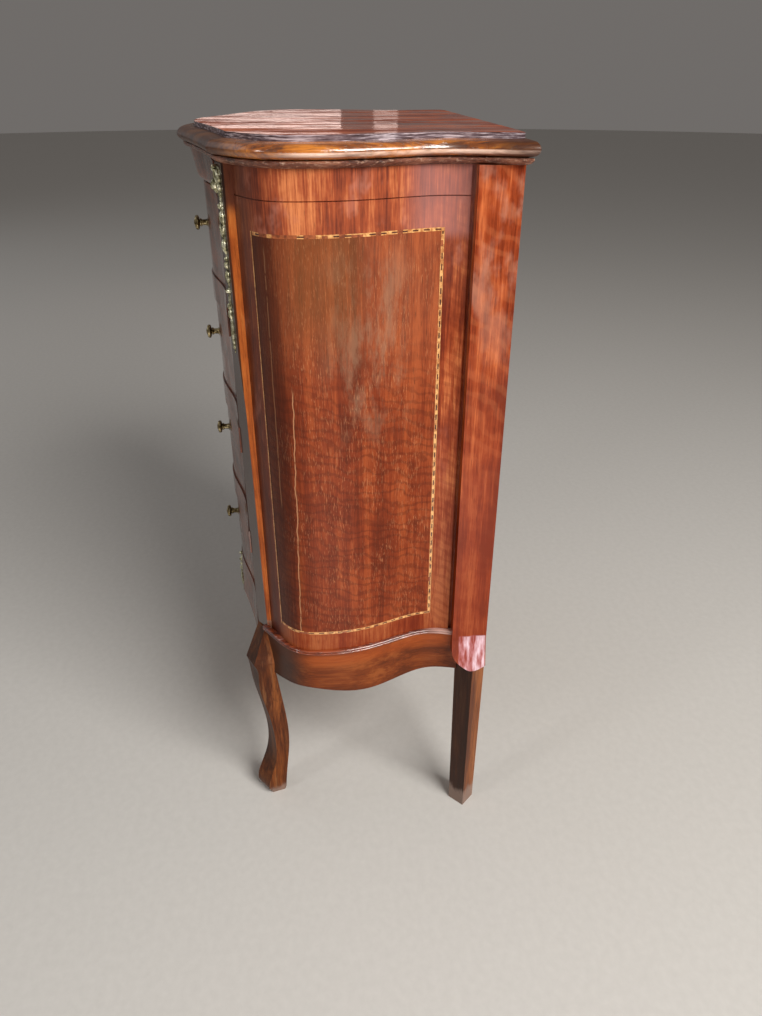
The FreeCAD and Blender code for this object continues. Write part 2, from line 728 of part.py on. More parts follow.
# ---------------------------------------------------------------- brass mounts
def make_corner_mount():
    """Cast corner mount lying on the canted face: leafy head, flower, drops and a long leaf."""
    start = plan(*POST[0])
    end = plan(*POST[1])
    middle = (start + end) * 0.5
    slant = (end - start).normalize()
    normal = Vector(slant.y, -slant.x, 0)
    # height of the centre, half width, half height, standing proud
    parts = [(485.0, 4.4, 8.5, 2.6), (472.5, 3.8, 5.0, 2.6), (463.5, 3.2, 5.0, 2.8), (455.0, 2.6, 5.0, 2.0),
             (446.0, 2.6, 5.0, 2.2), (437.0, 2.0, 5.0, 1.8), (428.0, 2.0, 5.0, 1.8), (420.5, 2.7, 3.6, 2.4),
             (413.0, 2.2, 5.0, 2.0), (404.5, 2.4, 4.6, 2.0), (396.0, 1.8, 5.0, 1.6), (390.0, 1.3, 3.0, 1.3)]
    pieces = []
    for z, half_wide, half_high, proud in parts:
        corners = []
        for step in range(10):
            angle = math.radians(36 * step)
            across = slant * (half_wide * math.cos(angle))
            corners.append(middle + across + Vector(0, 0, z + half_high * math.sin(angle)))
        pieces.append(polygon_prism(corners, normal * proud))
    return pieces[0].fuse(pieces[1:])


def make_apron_mount():
    """Cast mount in the middle of the front apron."""
    front_y = size("back_plane") - size("case_depth") - 30
    # distance from the middle, height
    outline = [(0, 166), (6, 161), (9, 153), (20, 150), (28, 146), (20, 143.5), (11, 141), (6, 135.5),
               (0, 134)]
    ring = [Vector(x, front_y, z) for x, z in outline]
    ring += [Vector(-x, front_y, z) for x, z in reversed(outline[1:-1])]
    plate = polygon_prism(ring, Vector(0, 60, 0))
    low, high, proud, band_depth = 130.0, 170.0, 4.0, 8.0
    front = [Vector(point.x, point.y - proud, low) for point in whole_front(DRAWER_FACE)]
    wire = bow_wire(front, front[0].y + band_depth)
    band = Part.Face(wire).extrude(Vector(0, 0, high - low))
    return plate.common(band)


# ---------------------------------------------------------------- drawers
def make_drawer(number):
    """One drawer: shaped front, two sides, back, bottom and a turned knob."""
    name = "drawer_%d" % number
    low = opening_formula(number)
    z = opening_bottom(number)
    block_shape = front_prism(DRAWER_FACE, 0, size("front_inner"), z - 5, z + size("opening_height") + 5)
    blank = solid(name + "_blank", block_shape)
    frame = box(name + "_frame",
                ("-(sizes.opening_half - sizes.front_gap)", "sizes.opening_half - sizes.front_gap"),
                ("sizes.case_depth + 10", "sizes.front_inner"),
                (low + " + sizes.front_lift", low + " + sizes.opening_height - sizes.front_lift"))
    face = combine("Common", name + "_face", blank, frame)
    middle = low + " + sizes.opening_height / 2"
    hole = cylinder_y(name + "_hole", "sizes.knob_hole", "0", middle,
                      ("sizes.case_depth + 5", "sizes.front_inner - 5"))
    named(name + "_front", combine("Cut", name + "_bored", face, hole))

    bottom = low + " + sizes.front_lift"
    top = bottom + " + sizes.box_height"
    floor_low = bottom + " + sizes.floor_lift"
    floor_high = floor_low + " + sizes.floor_thick"
    right = box(name + "_right", ("sizes.box_half - sizes.box_wall", "sizes.box_half"),
                ("sizes.front_inner", "sizes.box_back"), (bottom, top))
    left = box(name + "_left", ("-sizes.box_half", "-(sizes.box_half - sizes.box_wall)"),
               ("sizes.front_inner", "sizes.box_back"), (bottom, top))
    named(name + "_sides", group(name + "_pair", [right, left]))
    inner = "(sizes.box_half - sizes.box_wall)"
    named(name + "_back", box(name + "_rear", ("-" + inner, inner),
                              ("sizes.box_back + sizes.box_wall", "sizes.box_back"), (floor_high, top)))
    named(name + "_bottom", box(name + "_floor", ("-" + inner, inner),
                                ("sizes.front_inner", "sizes.box_back"), (floor_low, floor_high)))
    make_knob(name, middle)


def make_knob(name, middle):
    """Turned brass knob: stem, collar, neck and a ringed head, as one revolution about Y."""
    body = doc.addObject("PartDesign::Body", name + "_turning")
    plane = [item for item in body.Origin.OriginFeatures if item.Role == "YZ_Plane"][0]
    sketch = body.newObject("Sketcher::SketchObject", name + "_profile")
    sketch.AttachmentSupport = [(plane, "")]
    sketch.MapMode = "FlatFace"
    face = size("back_plane") - size("case_depth")
    stem = size("knob_stem")
    neck = size("knob_neck")
    head = size("knob_head")
    reach = size("knob_reach")
    # distance in front of the face, radius
    profile = [(-12.0, 0.0), (-12.0, stem), (0.0, stem), (0.0, 1.9 * neck), (1.0, 1.9 * neck),
               (1.7, 1.2 * neck), (2.6, neck), (5.2, neck), (5.8, 1.35 * neck), (6.4, 1.35 * neck),
               (6.9, neck), (7.4, 0.8 * head), (7.9, head), (reach - 1.6, head),
               (reach - 0.9, 0.88 * head), (reach - 0.9, 0.66 * head), (reach, 0.34 * head), (reach, 0.0)]
    points = [Vector(-forward, radius, 0) for forward, radius in profile]
    for start, end in zip(points, points[1:] + points[:1]):
        sketch.addGeometry(Part.LineSegment(start, end), False)
    count = len(points)
    for index in range(count):
        sketch.addConstraint(Sketcher.Constraint("Coincident", index, 2, (index + 1) % count, 1))
    doc.recompute()
    turning = body.newObject("PartDesign::Revolution", name + "_revolve")
    turning.Profile = sketch
    turning.ReferenceAxis = (sketch, ["H_Axis"])
    turning.Angle = 360
    body.Tip = turning
    body.Placement.Base = Vector(0, face, 0)
    body.setExpression(".Placement.Base.y", "sizes.back_plane - sizes.case_depth")
    body.setExpression(".Placement.Base.z", middle)
    named(name + "_knob", body)


# ---------------------------------------------------------------- build
def build():
    make_top()
    make_sides()

    post = make_post()
    stile = make_stile()
    leg = make_front_leg()
    rear_leg = make_rear_leg(stile)
    both_sides("front_post", solid("post", post))
    both_sides("front_leg", solid("cabriole", leg))
    both_sides("rear_stile", solid("stile", stile))
    both_sides("rear_leg", solid("straight_leg", rear_leg))

    panel = NODES["side_panel_right"].Shape
    trimmed = [reed.cut(panel).cut(post).cut(leg).cut(stile) for reed in make_reeds()]
    bead = trimmed[0].fuse(trimmed[1])
    both_sides("lower_bead", solid("half_round", bead))
    apron = make_side_apron(leg, stile, rear_leg, bead).cut(post)
    both_sides("side_apron", solid("side_skirt", apron))
    named("front_apron", solid("front_skirt", make_front_apron(leg)))
    named("front_frieze", solid("leaning_frieze", make_frieze_front()))

    for number in range(1, int(size("drawer_count"))):
        low = opening_formula(number)
        z = opening_bottom(number)
        shape = front_prism(DRAWER_FACE, size("rail_proud"), size("front_inner"), z - size("rail_height"), z)
        face = solid("rail_face_%d" % number, shape)
        tail = box("rail_tail_%d" % number, ("-sizes.rail_tail_half", "sizes.rail_tail_half"),
                   ("sizes.front_inner", "sizes.rail_depth"), (low + " - sizes.rail_height", low))
        named("drawer_rail_%d" % number, fuse("rail_%d" % number, [face, tail]))

    named("drawer_runners", solid("runner_set", make_runners(post)))
    around = [leg, rear_leg, stile, apron]
    mirror_of = [shape.mirror(Vector(0, 0, 0), Vector(1, 0, 0)) for shape in around]
    named("bottom_board", solid("bottom_boards", make_bottom(around + mirror_of)))
    named("back_panel", box("back_sheet", ("-sizes.stile_inner", "sizes.stile_inner"),
                            ("sizes.back_thick", "0"), ("sizes.stile_foot", "sizes.cap_underside")))
    named("back_rail", solid("rear_rail", make_back_rail([rear_leg, mirror_of[1]])))

    both_sides("corner_mount", solid("corner_brass", make_corner_mount()))
    skirt = NODES["front_apron"].Shape
    named("apron_mount", solid("apron_brass", make_apron_mount().cut(skirt)))

    for number in range(1, int(size("drawer_count")) + 1):
        make_drawer(number)


def export():
    doc.recompute()
    for obj in doc.Objects:
        bad = [state for state in obj.State if state in ("Invalid", "Error")]
        if bad:
            raise RuntimeError("%s is %s" % (obj.Name, bad))
    for node, obj in NODES.items():
        if obj.Shape.isNull() or not obj.Shape.isValid():
            raise RuntimeError("%s has no valid shape" % node)
    os.makedirs("parts", exist_ok=True)
    whole = FreeCAD.BoundBox()
    for node, obj in NODES.items():
        obj.Shape.exportStep("parts/%s.step" % node)
        whole.add(obj.Shape.BoundBox)
        print("%-22s solids %d  volume %10.1f" % (node, len(obj.Shape.Solids), obj.Shape.Volume))
    print("nodes", len(NODES), "box", whole)


build()
export()
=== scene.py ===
"""Miniature chest of drawers: materials, brass mounts, stringing, floor, lights and camera."""
import json
import math
from random import Random

import bmesh
import bpy
from mathutils import Matrix, Vector
from mathutils.bvhtree import BVHTree


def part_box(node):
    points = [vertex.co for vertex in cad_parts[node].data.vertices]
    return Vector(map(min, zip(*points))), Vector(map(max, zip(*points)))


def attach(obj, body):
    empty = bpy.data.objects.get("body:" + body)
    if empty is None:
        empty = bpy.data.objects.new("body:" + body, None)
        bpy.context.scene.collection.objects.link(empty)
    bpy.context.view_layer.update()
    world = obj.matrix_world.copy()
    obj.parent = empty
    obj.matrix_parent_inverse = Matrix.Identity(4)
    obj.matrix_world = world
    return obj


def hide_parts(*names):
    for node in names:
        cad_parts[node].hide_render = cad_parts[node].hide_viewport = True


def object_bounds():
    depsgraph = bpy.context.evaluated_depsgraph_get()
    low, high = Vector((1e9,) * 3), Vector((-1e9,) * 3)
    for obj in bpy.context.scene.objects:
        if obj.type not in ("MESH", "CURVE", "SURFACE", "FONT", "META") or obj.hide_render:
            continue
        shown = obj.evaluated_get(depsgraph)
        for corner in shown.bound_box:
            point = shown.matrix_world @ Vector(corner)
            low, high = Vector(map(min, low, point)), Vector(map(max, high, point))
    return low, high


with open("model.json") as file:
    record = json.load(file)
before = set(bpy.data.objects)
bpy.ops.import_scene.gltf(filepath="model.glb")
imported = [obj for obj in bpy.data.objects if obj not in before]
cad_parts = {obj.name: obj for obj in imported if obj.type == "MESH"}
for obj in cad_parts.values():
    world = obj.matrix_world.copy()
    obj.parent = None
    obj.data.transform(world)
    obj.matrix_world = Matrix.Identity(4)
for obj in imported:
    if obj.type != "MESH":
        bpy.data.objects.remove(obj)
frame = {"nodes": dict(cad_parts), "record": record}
CAD_LOW, CAD_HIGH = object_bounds()
NODES = frame["nodes"]
CASE = "case"
SIDES = (("right", 1), ("left", -1))
MM = 0.001
TOP = CAD_HIGH.z
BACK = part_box("back_panel")[1].y
VARNISH_IOR = 1.9  # of the thick bright varnish on the mouldings


# ------------------------------------------------------------------ materials
def srgb(red, green, blue):
    """A colour from its 0 to 255 display values."""
    def channel(value):
        value /= 255
        return value / 12.92 if value <= 0.04045 else ((value + 0.055) / 1.055) ** 2.4
    return (channel(red), channel(green), channel(blue), 1.0)


class Shader:
    """Builds one node material around a Principled shader."""

    def __init__(self, name, roughness, coat=0.0, coat_roughness=0.1, metallic=0.0, specular=0.5):
        self.material = bpy.data.materials.new(name)
        self.material.use_nodes = True
        tree = self.material.node_tree
        self.nodes, self.links = tree.nodes, tree.links
        self.shader = self.nodes["Principled BSDF"]
        self.shader.inputs["Roughness"].default_value = roughness
        self.shader.inputs["Coat Weight"].default_value = coat
        self.shader.inputs["Coat Roughness"].default_value = coat_roughness
        self.shader.inputs["Metallic"].default_value = metallic
        self.shader.inputs["Specular IOR Level"].default_value = specular
        self.place = self.nodes.new("ShaderNodeTexCoord").outputs["Object"]
        self.axes = None
        self.normals = None

    def put(self, socket, value):
        """Set a socket to a value or link it to another node's output."""
        if isinstance(value, bpy.types.NodeSocket):
            self.links.new(value, socket)
        else:
            socket.default_value = value

    def stretch(self, across, deep, high, turn=(0, 0, 0)):
        """Object coordinates scaled along x, y and z, after a turn in degrees."""
        turned = self.place
        if any(turn):
            rotate = self.nodes.new("ShaderNodeMapping")
            self.put(rotate.inputs["Vector"], turned)
            rotate.inputs["Rotation"].default_value = [math.radians(angle) for angle in turn]
            turned = rotate.outputs["Vector"]
        mapping = self.nodes.new("ShaderNodeMapping")
        self.put(mapping.inputs["Vector"], turned)
        mapping.inputs["Scale"].default_value = (across, deep, high)
        return mapping.outputs["Vector"]

    def even(self, per_metre):
        """Object coordinates scaled alike along every axis."""
        return self.stretch(per_metre, per_metre, per_metre)

    def noise(self, vector, detail=3.0, rough=0.55, distort=0.0):
        """Cloudy pattern from 0 to 1. The coordinates carry its scale."""
        node = self.nodes.new("ShaderNodeTexNoise")
        self.put(node.inputs["Vector"], vector)
        node.inputs["Scale"].default_value = 1.0
        node.inputs["Detail"].default_value = detail
        node.inputs["Roughness"].default_value = rough
        node.inputs["Distortion"].default_value = distort
        return node.outputs["Fac"]

    def wave(self, vector, scale, distort, detail, direction, detail_scale):
        """Rippled figure: wavering bands that follow one another along a direction."""
        node = self.nodes.new("ShaderNodeTexWave")
        node.bands_direction = direction
        self.put(node.inputs["Vector"], vector)
        node.inputs["Scale"].default_value = scale
        node.inputs["Distortion"].default_value = distort
        node.inputs["Detail"].default_value = detail
        node.inputs["Detail Scale"].default_value = detail_scale
        return node.outputs["Fac"]

    def axis(self, which):
        """One object coordinate, in metres."""
        if self.axes is None:
            node = self.nodes.new("ShaderNodeSeparateXYZ")
            self.put(node.inputs[0], self.place)
            self.axes = node.outputs
        return self.axes["XYZ".index(which)]

    def up(self):
        """Height above the floor, in metres."""
        return self.axis("Z")

    def depth(self):
        """Distance forward from the back of the case, in metres."""
        return self.minus(BACK, self.axis("Y"))

    def maths(self, operation, first, second=0.0):
        node = self.nodes.new("ShaderNodeMath")
        node.operation = operation
        self.put(node.inputs[0], first)
        self.put(node.inputs[1], second)
        return node.outputs[0]

    def times(self, first, second):
        return self.maths("MULTIPLY", first, second)

    def plus(self, first, second):
        return self.maths("ADD", first, second)

    def minus(self, first, second):
        return self.maths("SUBTRACT", first, second)

    def most(self, first, second):
        return self.maths("MAXIMUM", first, second)

    def fade(self, value, start, end):
        """0 before start and 1 past end, smoothly. start may be above end."""
        node = self.nodes.new("ShaderNodeMapRange")
        node.interpolation_type = "SMOOTHSTEP"
        self.put(node.inputs["Value"], value)
        rising = start < end
        node.inputs["From Min"].default_value = min(start, end)
        node.inputs["From Max"].default_value = max(start, end)
        node.inputs["To Min"].default_value = 0.0 if rising else 1.0
        node.inputs["To Max"].default_value = 1.0 if rising else 0.0
        return node.outputs["Result"]

    def between(self, value, low, high, soft):
        """1 between low and high, falling to 0 over soft at each end."""
        return self.times(self.fade(value, low - soft, low), self.fade(value, high + soft, high))

    def ramp(self, value, stops):
        """A colour read off (position, colour) stops."""
        node = self.nodes.new("ShaderNodeValToRGB")
        self.put(node.inputs["Fac"], value)
        band = node.color_ramp
        while len(band.elements) < len(stops):
            band.elements.new(0.5)
        for element, (position, colour) in zip(band.elements, stops):
            element.position = position
            element.color = colour
        return node.outputs["Color"]

    def mix(self, share, first, second):
        """The first colour, turned to the second by a share."""
        node = self.nodes.new("ShaderNodeMix")
        node.data_type = "RGBA"
        colour_a, colour_b, colour_result = node.inputs[6], node.inputs[7], node.outputs[2]
        self.put(node.inputs["Factor"], share)
        self.put(colour_a, first)
        self.put(colour_b, second)
        return colour_result

    def tint(self, colour, mask, share, shade):
        """Turn that share of the colour into a shade where the mask is 1."""
        return self.mix(self.times(mask, share), colour, shade)

    def bump(self, height, distance, strength, under=None):
        """Relief from a value, 1 at the full distance in metres, laid over another if given."""
        node = self.nodes.new("ShaderNodeBump")
        node.inputs["Strength"].default_value = strength
        node.inputs["Distance"].default_value = distance
        self.put(node.inputs["Height"], height)
        if under is not None:
            self.put(node.inputs["Normal"], under)
        return node.outputs["Normal"]

    def facing(self, which):
        """One part of the surface's outward direction."""
        if self.normals is None:
            geometry = self.nodes.new("ShaderNodeNewGeometry")
            node = self.nodes.new("ShaderNodeSeparateXYZ")
            self.put(node.inputs[0], geometry.outputs["Normal"])
            self.normals = node.outputs
        return self.normals["XYZ".index(which)]

    def finish(self, colour, normal=None, roughness=None, coat_normal=None, coat=None):
        """Link what is given. The varnish follows the wood unless it has its own relief."""
        self.put(self.shader.inputs["Base Color"], colour)
        if normal is not None:
            self.put(self.shader.inputs["Normal"], normal)
            over = normal if coat_normal is None else coat_normal
            self.put(self.shader.inputs["Coat Normal"], over)
        if roughness is not None:
            self.put(self.shader.inputs["Roughness"], roughness)
        if coat is not None:
            self.put(self.shader.inputs["Coat Weight"], coat)
        return self.material


GRAIN_STRETCH = 0.045  # scale of the pattern along the grain, over that across it


def wood_colour(s, along, dark, middle, light, *, broad=60, fine=900, pores=2600, pore_depth=0.35,
                cloud=0.26):
    """Broad streaks, fine lines and short dark pores along an axis. Returns colour and relief.

    Colours are display values. broad, fine and pores are scales per metre across the grain,
    and cloud is the share of broad patches.
    """
    def grain(per_metre):
        return s.stretch(*(per_metre * (GRAIN_STRETCH if axis == along else 1.0) for axis in "XYZ"))

    line_share = 0.28
    streaks = s.noise(grain(broad), detail=4, rough=0.6, distort=0.4)
    patches = s.noise(s.even(36), detail=4, rough=0.62)
    lines = s.noise(grain(fine), detail=3, rough=0.65)
    blend = s.plus(s.times(streaks, 1 - line_share - cloud), s.times(lines, line_share))
    blend = s.plus(blend, s.times(patches, cloud))
    colour = s.ramp(blend, [(0.415, srgb(*dark)), (0.5, srgb(*middle)), (0.585, srgb(*light))])
    pits = s.noise(grain(pores), detail=1.5, rough=0.5)
    pit_mask = s.fade(pits, 0.62, 0.74)
    pit_shade = [channel * (1 - pore_depth) for channel in srgb(*dark)[:3]] + [1.0]
    colour = s.tint(colour, pit_mask, 0.75, pit_shade)
    return colour, s.minus(s.times(lines, 0.5), pit_mask)


def make_border():
    """Polished orange-red cross-banding with upright grain and faint ripples near the stile."""
    s = Shader("border_wood", roughness=0.36, coat=0.16, coat_roughness=0.16, specular=0.16)
    colour, relief = wood_colour(s, "Z", (104, 34, 12), (162, 72, 34), (220, 132, 78))
    ripple = s.wave(s.stretch(1, 1, 1, turn=(28, 0, 0)), 48, 5.5, 2, "Z", 1.4)
    ripple_mask = s.times(s.fade(ripple, 0.45, 0.8), s.fade(s.depth(), 0.051, 0.034))
    colour = s.tint(colour, ripple_mask, 0.3, srgb(124, 44, 14))
    # Painted shade: darker low down, where less light falls.
    low_down = s.fade(s.up(), 0.4, 0.22)
    colour = s.tint(colour, low_down, 0.6, srgb(112, 36, 8))
    front_shade = s.fade(s.depth(), 0.139, 0.154)
    colour = s.tint(colour, front_shade, 0.72, srgb(62, 22, 8))
    # Painted haze: pale pinkish patches high up stand in for the reflection of a bright light; the
    # varnish is rougher there.
    painted_haze = s.fade(s.noise(s.stretch(38, 38, 24), detail=4, rough=0.7), 0.54, 0.7)
    painted_haze = s.times(painted_haze, s.fade(s.up(), 0.26, 0.42))
    colour = s.tint(colour, painted_haze, 0.3, srgb(222, 150, 128))
    frieze = s.between(s.up(), 0.462, 0.52, 0.008)
    # Painted highlight: a pinkish patch at the rear end of the frieze stands in for a reflection.
    frieze_end_highlight = s.times(frieze, s.between(s.depth(), 0.02, 0.05, 0.02))
    colour = s.tint(colour, frieze_end_highlight, 0.3, srgb(214, 160, 156))
    # Painted haze: a faint pale wash over the top stands in for a hazy reflection.
    painted_top_haze = s.fade(s.up(), 0.4, 0.45)
    colour = s.tint(colour, painted_top_haze, 0.1, srgb(150, 122, 110))
    coat = s.plus(s.times(s.fade(s.up(), 0.26, 0.46), 0.2), 0.02)
    rough = s.plus(s.times(painted_haze, 0.14), 0.33)
    return s.finish(colour, s.bump(relief, 0.00008, 0.6), rough, coat=coat)


def crack(s, at, lean, start, end, sway, width):
    """A thin crack at a depth, leaning and wandering as it rises from one height to another."""
    wander = s.noise(s.stretch(0.01, 0.01, 46), detail=3, rough=0.6)
    middle = s.times(s.minus((start + end) / 2, s.up()), lean)
    line = s.plus(s.minus(s.depth(), middle), s.times(s.minus(wander, 0.5), sway))
    near = s.fade(s.maths("ABSOLUTE", s.minus(line, at)), width, width * 0.35)
    broken = s.fade(s.noise(s.stretch(5, 5, 130)), 0.3, 0.45)
    ends = s.between(s.up(), start, end, 0.008)
    return s.times(s.times(near, ends), broken)


def make_field():
    """Darker crackled veneer: pale pores, rippled figure and painted shade low down, and a painted
    hazy reflection high up.
    """
    s = Shader("field_veneer_wood", roughness=0.42, coat=0.1, coat_roughness=0.22, specular=0.17)
    colour, relief = wood_colour(s, "Z", (100, 38, 15), (131, 53, 23), (164, 78, 38),
                                 broad=100, fine=1100, cloud=0.24)
    figure = s.wave(s.stretch(1, 0.7, 1, turn=(16, 0, 0)), 46, 9, 4, "Z", 1.8)
    low_down = s.fade(s.up(), 0.43, 0.34)
    # Painted shade: darker low down, where less light falls.
    colour = s.tint(colour, low_down, 0.2, srgb(104, 36, 8))
    figure_mask = s.times(s.fade(figure, 0.5, 0.95), low_down)
    colour = s.tint(colour, figure_mask, 0.38, srgb(76, 26, 10))
    pale = s.noise(s.stretch(1600, 1600, 210), detail=2, rough=0.6, distort=0.35)
    pale_place = s.fade(s.noise(s.stretch(60, 60, 30)), 0.35, 0.6)
    pale_mask = s.times(s.fade(pale, 0.56, 0.66), pale_place)
    colour = s.tint(colour, pale_mask, 0.4, srgb(206, 138, 94))
    # Painted haze: a pale patch high up stands in for the reflection of a bright light; the varnish
    # is rougher there.
    painted_haze = s.noise(s.stretch(70, 70, 24), detail=6, rough=0.75)
    painted_haze_depth = s.between(s.depth(), 0.075, 0.095, 0.024)
    painted_haze_place = s.times(s.between(s.up(), 0.36, 0.435, 0.03), painted_haze_depth)
    painted_haze_mask = s.times(s.fade(painted_haze, 0.42, 0.62), painted_haze_place)
    colour = s.tint(colour, painted_haze_mask, 0.42, srgb(158, 124, 98))
    # Painted haze: a faint pale wash over the top stands in for a hazy reflection.
    painted_top_haze = s.fade(s.up(), 0.36, 0.43)
    colour = s.tint(colour, painted_top_haze, 0.12, srgb(150, 116, 88))
    olive = s.times(s.fade(s.up(), 0.38, 0.43), s.between(s.depth(), 0.1, 0.12, 0.02))
    colour = s.tint(colour, olive, 0.4, srgb(120, 74, 34))
    front_shade = s.fade(s.depth(), 0.124, 0.142)
    colour = s.tint(colour, front_shade, 0.72, srgb(54, 22, 10))
    faint = crack(s, at=0.1408, lean=0.002, start=0.3, end=0.45, sway=0.0016, width=0.0004)
    clear = crack(s, at=0.1315, lean=0.022, start=0.199, end=0.37, sway=0.0045, width=0.0005)
    cracks = s.most(clear, s.times(faint, 0.4))
    colour = s.tint(colour, cracks, 0.7, srgb(204, 150, 108))
    crackle = s.minus(s.plus(relief, s.times(pale_mask, 0.8)), s.times(cracks, 2.0))
    rough = s.plus(s.times(painted_haze_mask, 0.22), s.plus(s.times(pale, 0.12), 0.34))
    coat = s.plus(s.times(s.fade(s.up(), 0.3, 0.46), 0.16), 0.02)
    return s.finish(colour, s.bump(crackle, 0.00011, 0.7), rough, coat=coat)


def make_stile():
    """Red-brown veneer with faint slanting ripples, painted haze high up, painted shade low down
    and a painted highlight on its lower end.
    """
    s = Shader("stile_wood", roughness=0.38, coat=0.12, coat_roughness=0.18, specular=0.16)
    colour, relief = wood_colour(s, "Z", (112, 40, 16), (158, 68, 32), (206, 110, 62), broad=90)
    ripple = s.wave(s.stretch(1, 1, 1, turn=(35, 0, 0)), 26, 7, 3, "Z", 1.5)
    high_up = s.plus(s.times(s.fade(s.up(), 0.27, 0.38), 0.8), 0.2)
    light_ripple = s.times(s.fade(ripple, 0.45, 0.95), high_up)
    dark_ripple = s.times(s.fade(ripple, 0.4, 0.05), high_up)
    colour = s.tint(colour, light_ripple, 0.12, srgb(228, 140, 90))
    colour = s.tint(colour, dark_ripple, 0.09, srgb(98, 34, 12))
    # Painted haze: pale patches high up stand in for the reflection of a bright light.
    painted_haze = s.fade(s.noise(s.stretch(70, 70, 40), detail=4), 0.4, 0.62)
    painted_haze = s.times(painted_haze, s.fade(s.up(), 0.34, 0.46))
    colour = s.tint(colour, painted_haze, 0.4, srgb(200, 152, 130))
    # Painted shade: darker low down, where less light falls.
    low_down = s.fade(s.up(), 0.45, 0.22)
    colour = s.tint(colour, low_down, 0.55, srgb(124, 40, 12))
    # Painted highlight: the lower end is painted pinkish white with streaks, in place of a
    # reflection on its outward-leaning face.
    gleam_streaks = s.noise(s.stretch(300, 300, 30), detail=3)
    foot = s.fade(s.plus(s.up(), s.times(gleam_streaks, 0.003)), 0.182, 0.1808)
    gleam = s.plus(gleam_streaks, s.times(s.fade(s.depth(), 0.019, 0.004), 0.14))
    wear_and_highlight = s.ramp(gleam, [(0.42, srgb(150, 62, 52)), (0.56, srgb(190, 126, 130)),
                            (0.74, srgb(236, 208, 220))])
    within_edges = s.between(s.depth(), 0.0015, 0.019, 0.0015)
    colour = s.tint(colour, s.times(foot, within_edges), 0.92, wear_and_highlight)
    return s.finish(colour, s.bump(relief, 0.00008, 0.6), 0.34)


def make_post():
    """Front post: bare open-pored side edge, and a canted face dark and glossy like the drawers,
    with painted shade at the top and a painted shadow along the front of the side edge.
    """
    s = Shader("post_wood", roughness=0.5, coat=0.05, coat_roughness=0.06, specular=0.25)
    colour, relief = wood_colour(s, "Z", (142, 62, 16), (196, 100, 36), (224, 134, 62),
                                 pores=1800, pore_depth=0.5)
    top_shade = s.fade(s.up(), 0.466, 0.476)
    colour = s.tint(colour, top_shade, 0.85, srgb(76, 38, 30))
    # Painted shadow: the front millimetre of the side edge is painted near black, for the dark gap
    # beside the mount; it also makes the bare strip look narrower.
    front_edge_shadow = s.fade(s.depth(), 0.1603, 0.161)
    colour = s.tint(colour, front_edge_shadow, 0.9, srgb(28, 14, 8))
    canted = s.fade(s.facing("Y"), -0.5, -0.7)
    colour = s.tint(colour, canted, 0.92, srgb(58, 32, 20))
    glue = s.times(s.fade(s.up(), 0.1875, 0.186), s.fade(s.noise(s.even(260)), 0.4, 0.5))
    off_cant = s.fade(s.facing("Y"), -0.6, -0.4)
    glue = s.times(glue, off_cant)
    colour = s.tint(colour, glue, 0.6, srgb(150, 132, 120))
    coat = s.plus(s.times(canted, 0.9), 0.05)
    pores, varnish = s.bump(relief, 0.00018, 0.8), s.bump(relief, 0.00002, 0.3)
    return s.finish(colour, pores, 0.5, varnish, coat)


def make_apron():
    """Brown veneer with grain along the skirt, a painted highlight along its upper edge and painted
    shade towards the front.
    """
    s = Shader("apron_wood", roughness=0.4, coat=0.1, coat_roughness=0.2, specular=0.16)
    colour, relief = wood_colour(s, "Y", (92, 40, 12), (118, 54, 18), (144, 76, 32),
                                 broad=80, fine=700, cloud=0.12)
    # Painted light: the upper edge is painted brighter orange, as if lit.
    lit_upper_edge = s.fade(s.up(), 0.163, 0.172)
    colour = s.tint(colour, lit_upper_edge, 0.4, srgb(178, 82, 28))
    # Painted shade: darker towards the front, which faces away from the light.
    front = s.fade(s.depth(), 0.124, 0.146)
    colour = s.tint(colour, front, 0.85, srgb(58, 36, 26))
    return s.finish(colour, s.bump(relief, 0.0001, 0.6), 0.38)


def make_leg():
    """Brown solid wood with open pores, rubbed pale at the foot."""
    s = Shader("leg_wood_turned", roughness=0.5, coat=0.08, coat_roughness=0.2, specular=0.16)
    colour, relief = wood_colour(s, "Z", (74, 34, 12), (106, 53, 21), (148, 84, 38),
                                 broad=110, fine=600, pores=1700, pore_depth=0.5, cloud=0.06)
    worn = s.fade(s.noise(s.stretch(240, 240, 12), detail=4, rough=0.7), 0.54, 0.68)
    colour = s.tint(colour, worn, 0.3, srgb(176, 122, 78))
    rear = s.fade(s.depth(), 0.08, 0.05)
    shade = s.times(s.fade(s.facing("Y"), -0.45, -0.75), s.plus(s.times(rear, 0.25), 0.6))
    colour = s.mix(shade, colour, srgb(38, 20, 12))
    uneven = s.times(s.noise(s.stretch(160, 160, 60), detail=4), 0.02)
    uneven_up = s.plus(s.up(), uneven)
    foot = s.fade(s.minus(uneven_up, s.times(rear, 0.009)), 0.021, 0.013)
    colour = s.tint(colour, foot, 0.7, srgb(158, 134, 122))
    return s.finish(colour, s.bump(relief, 0.00015, 0.7), 0.46)


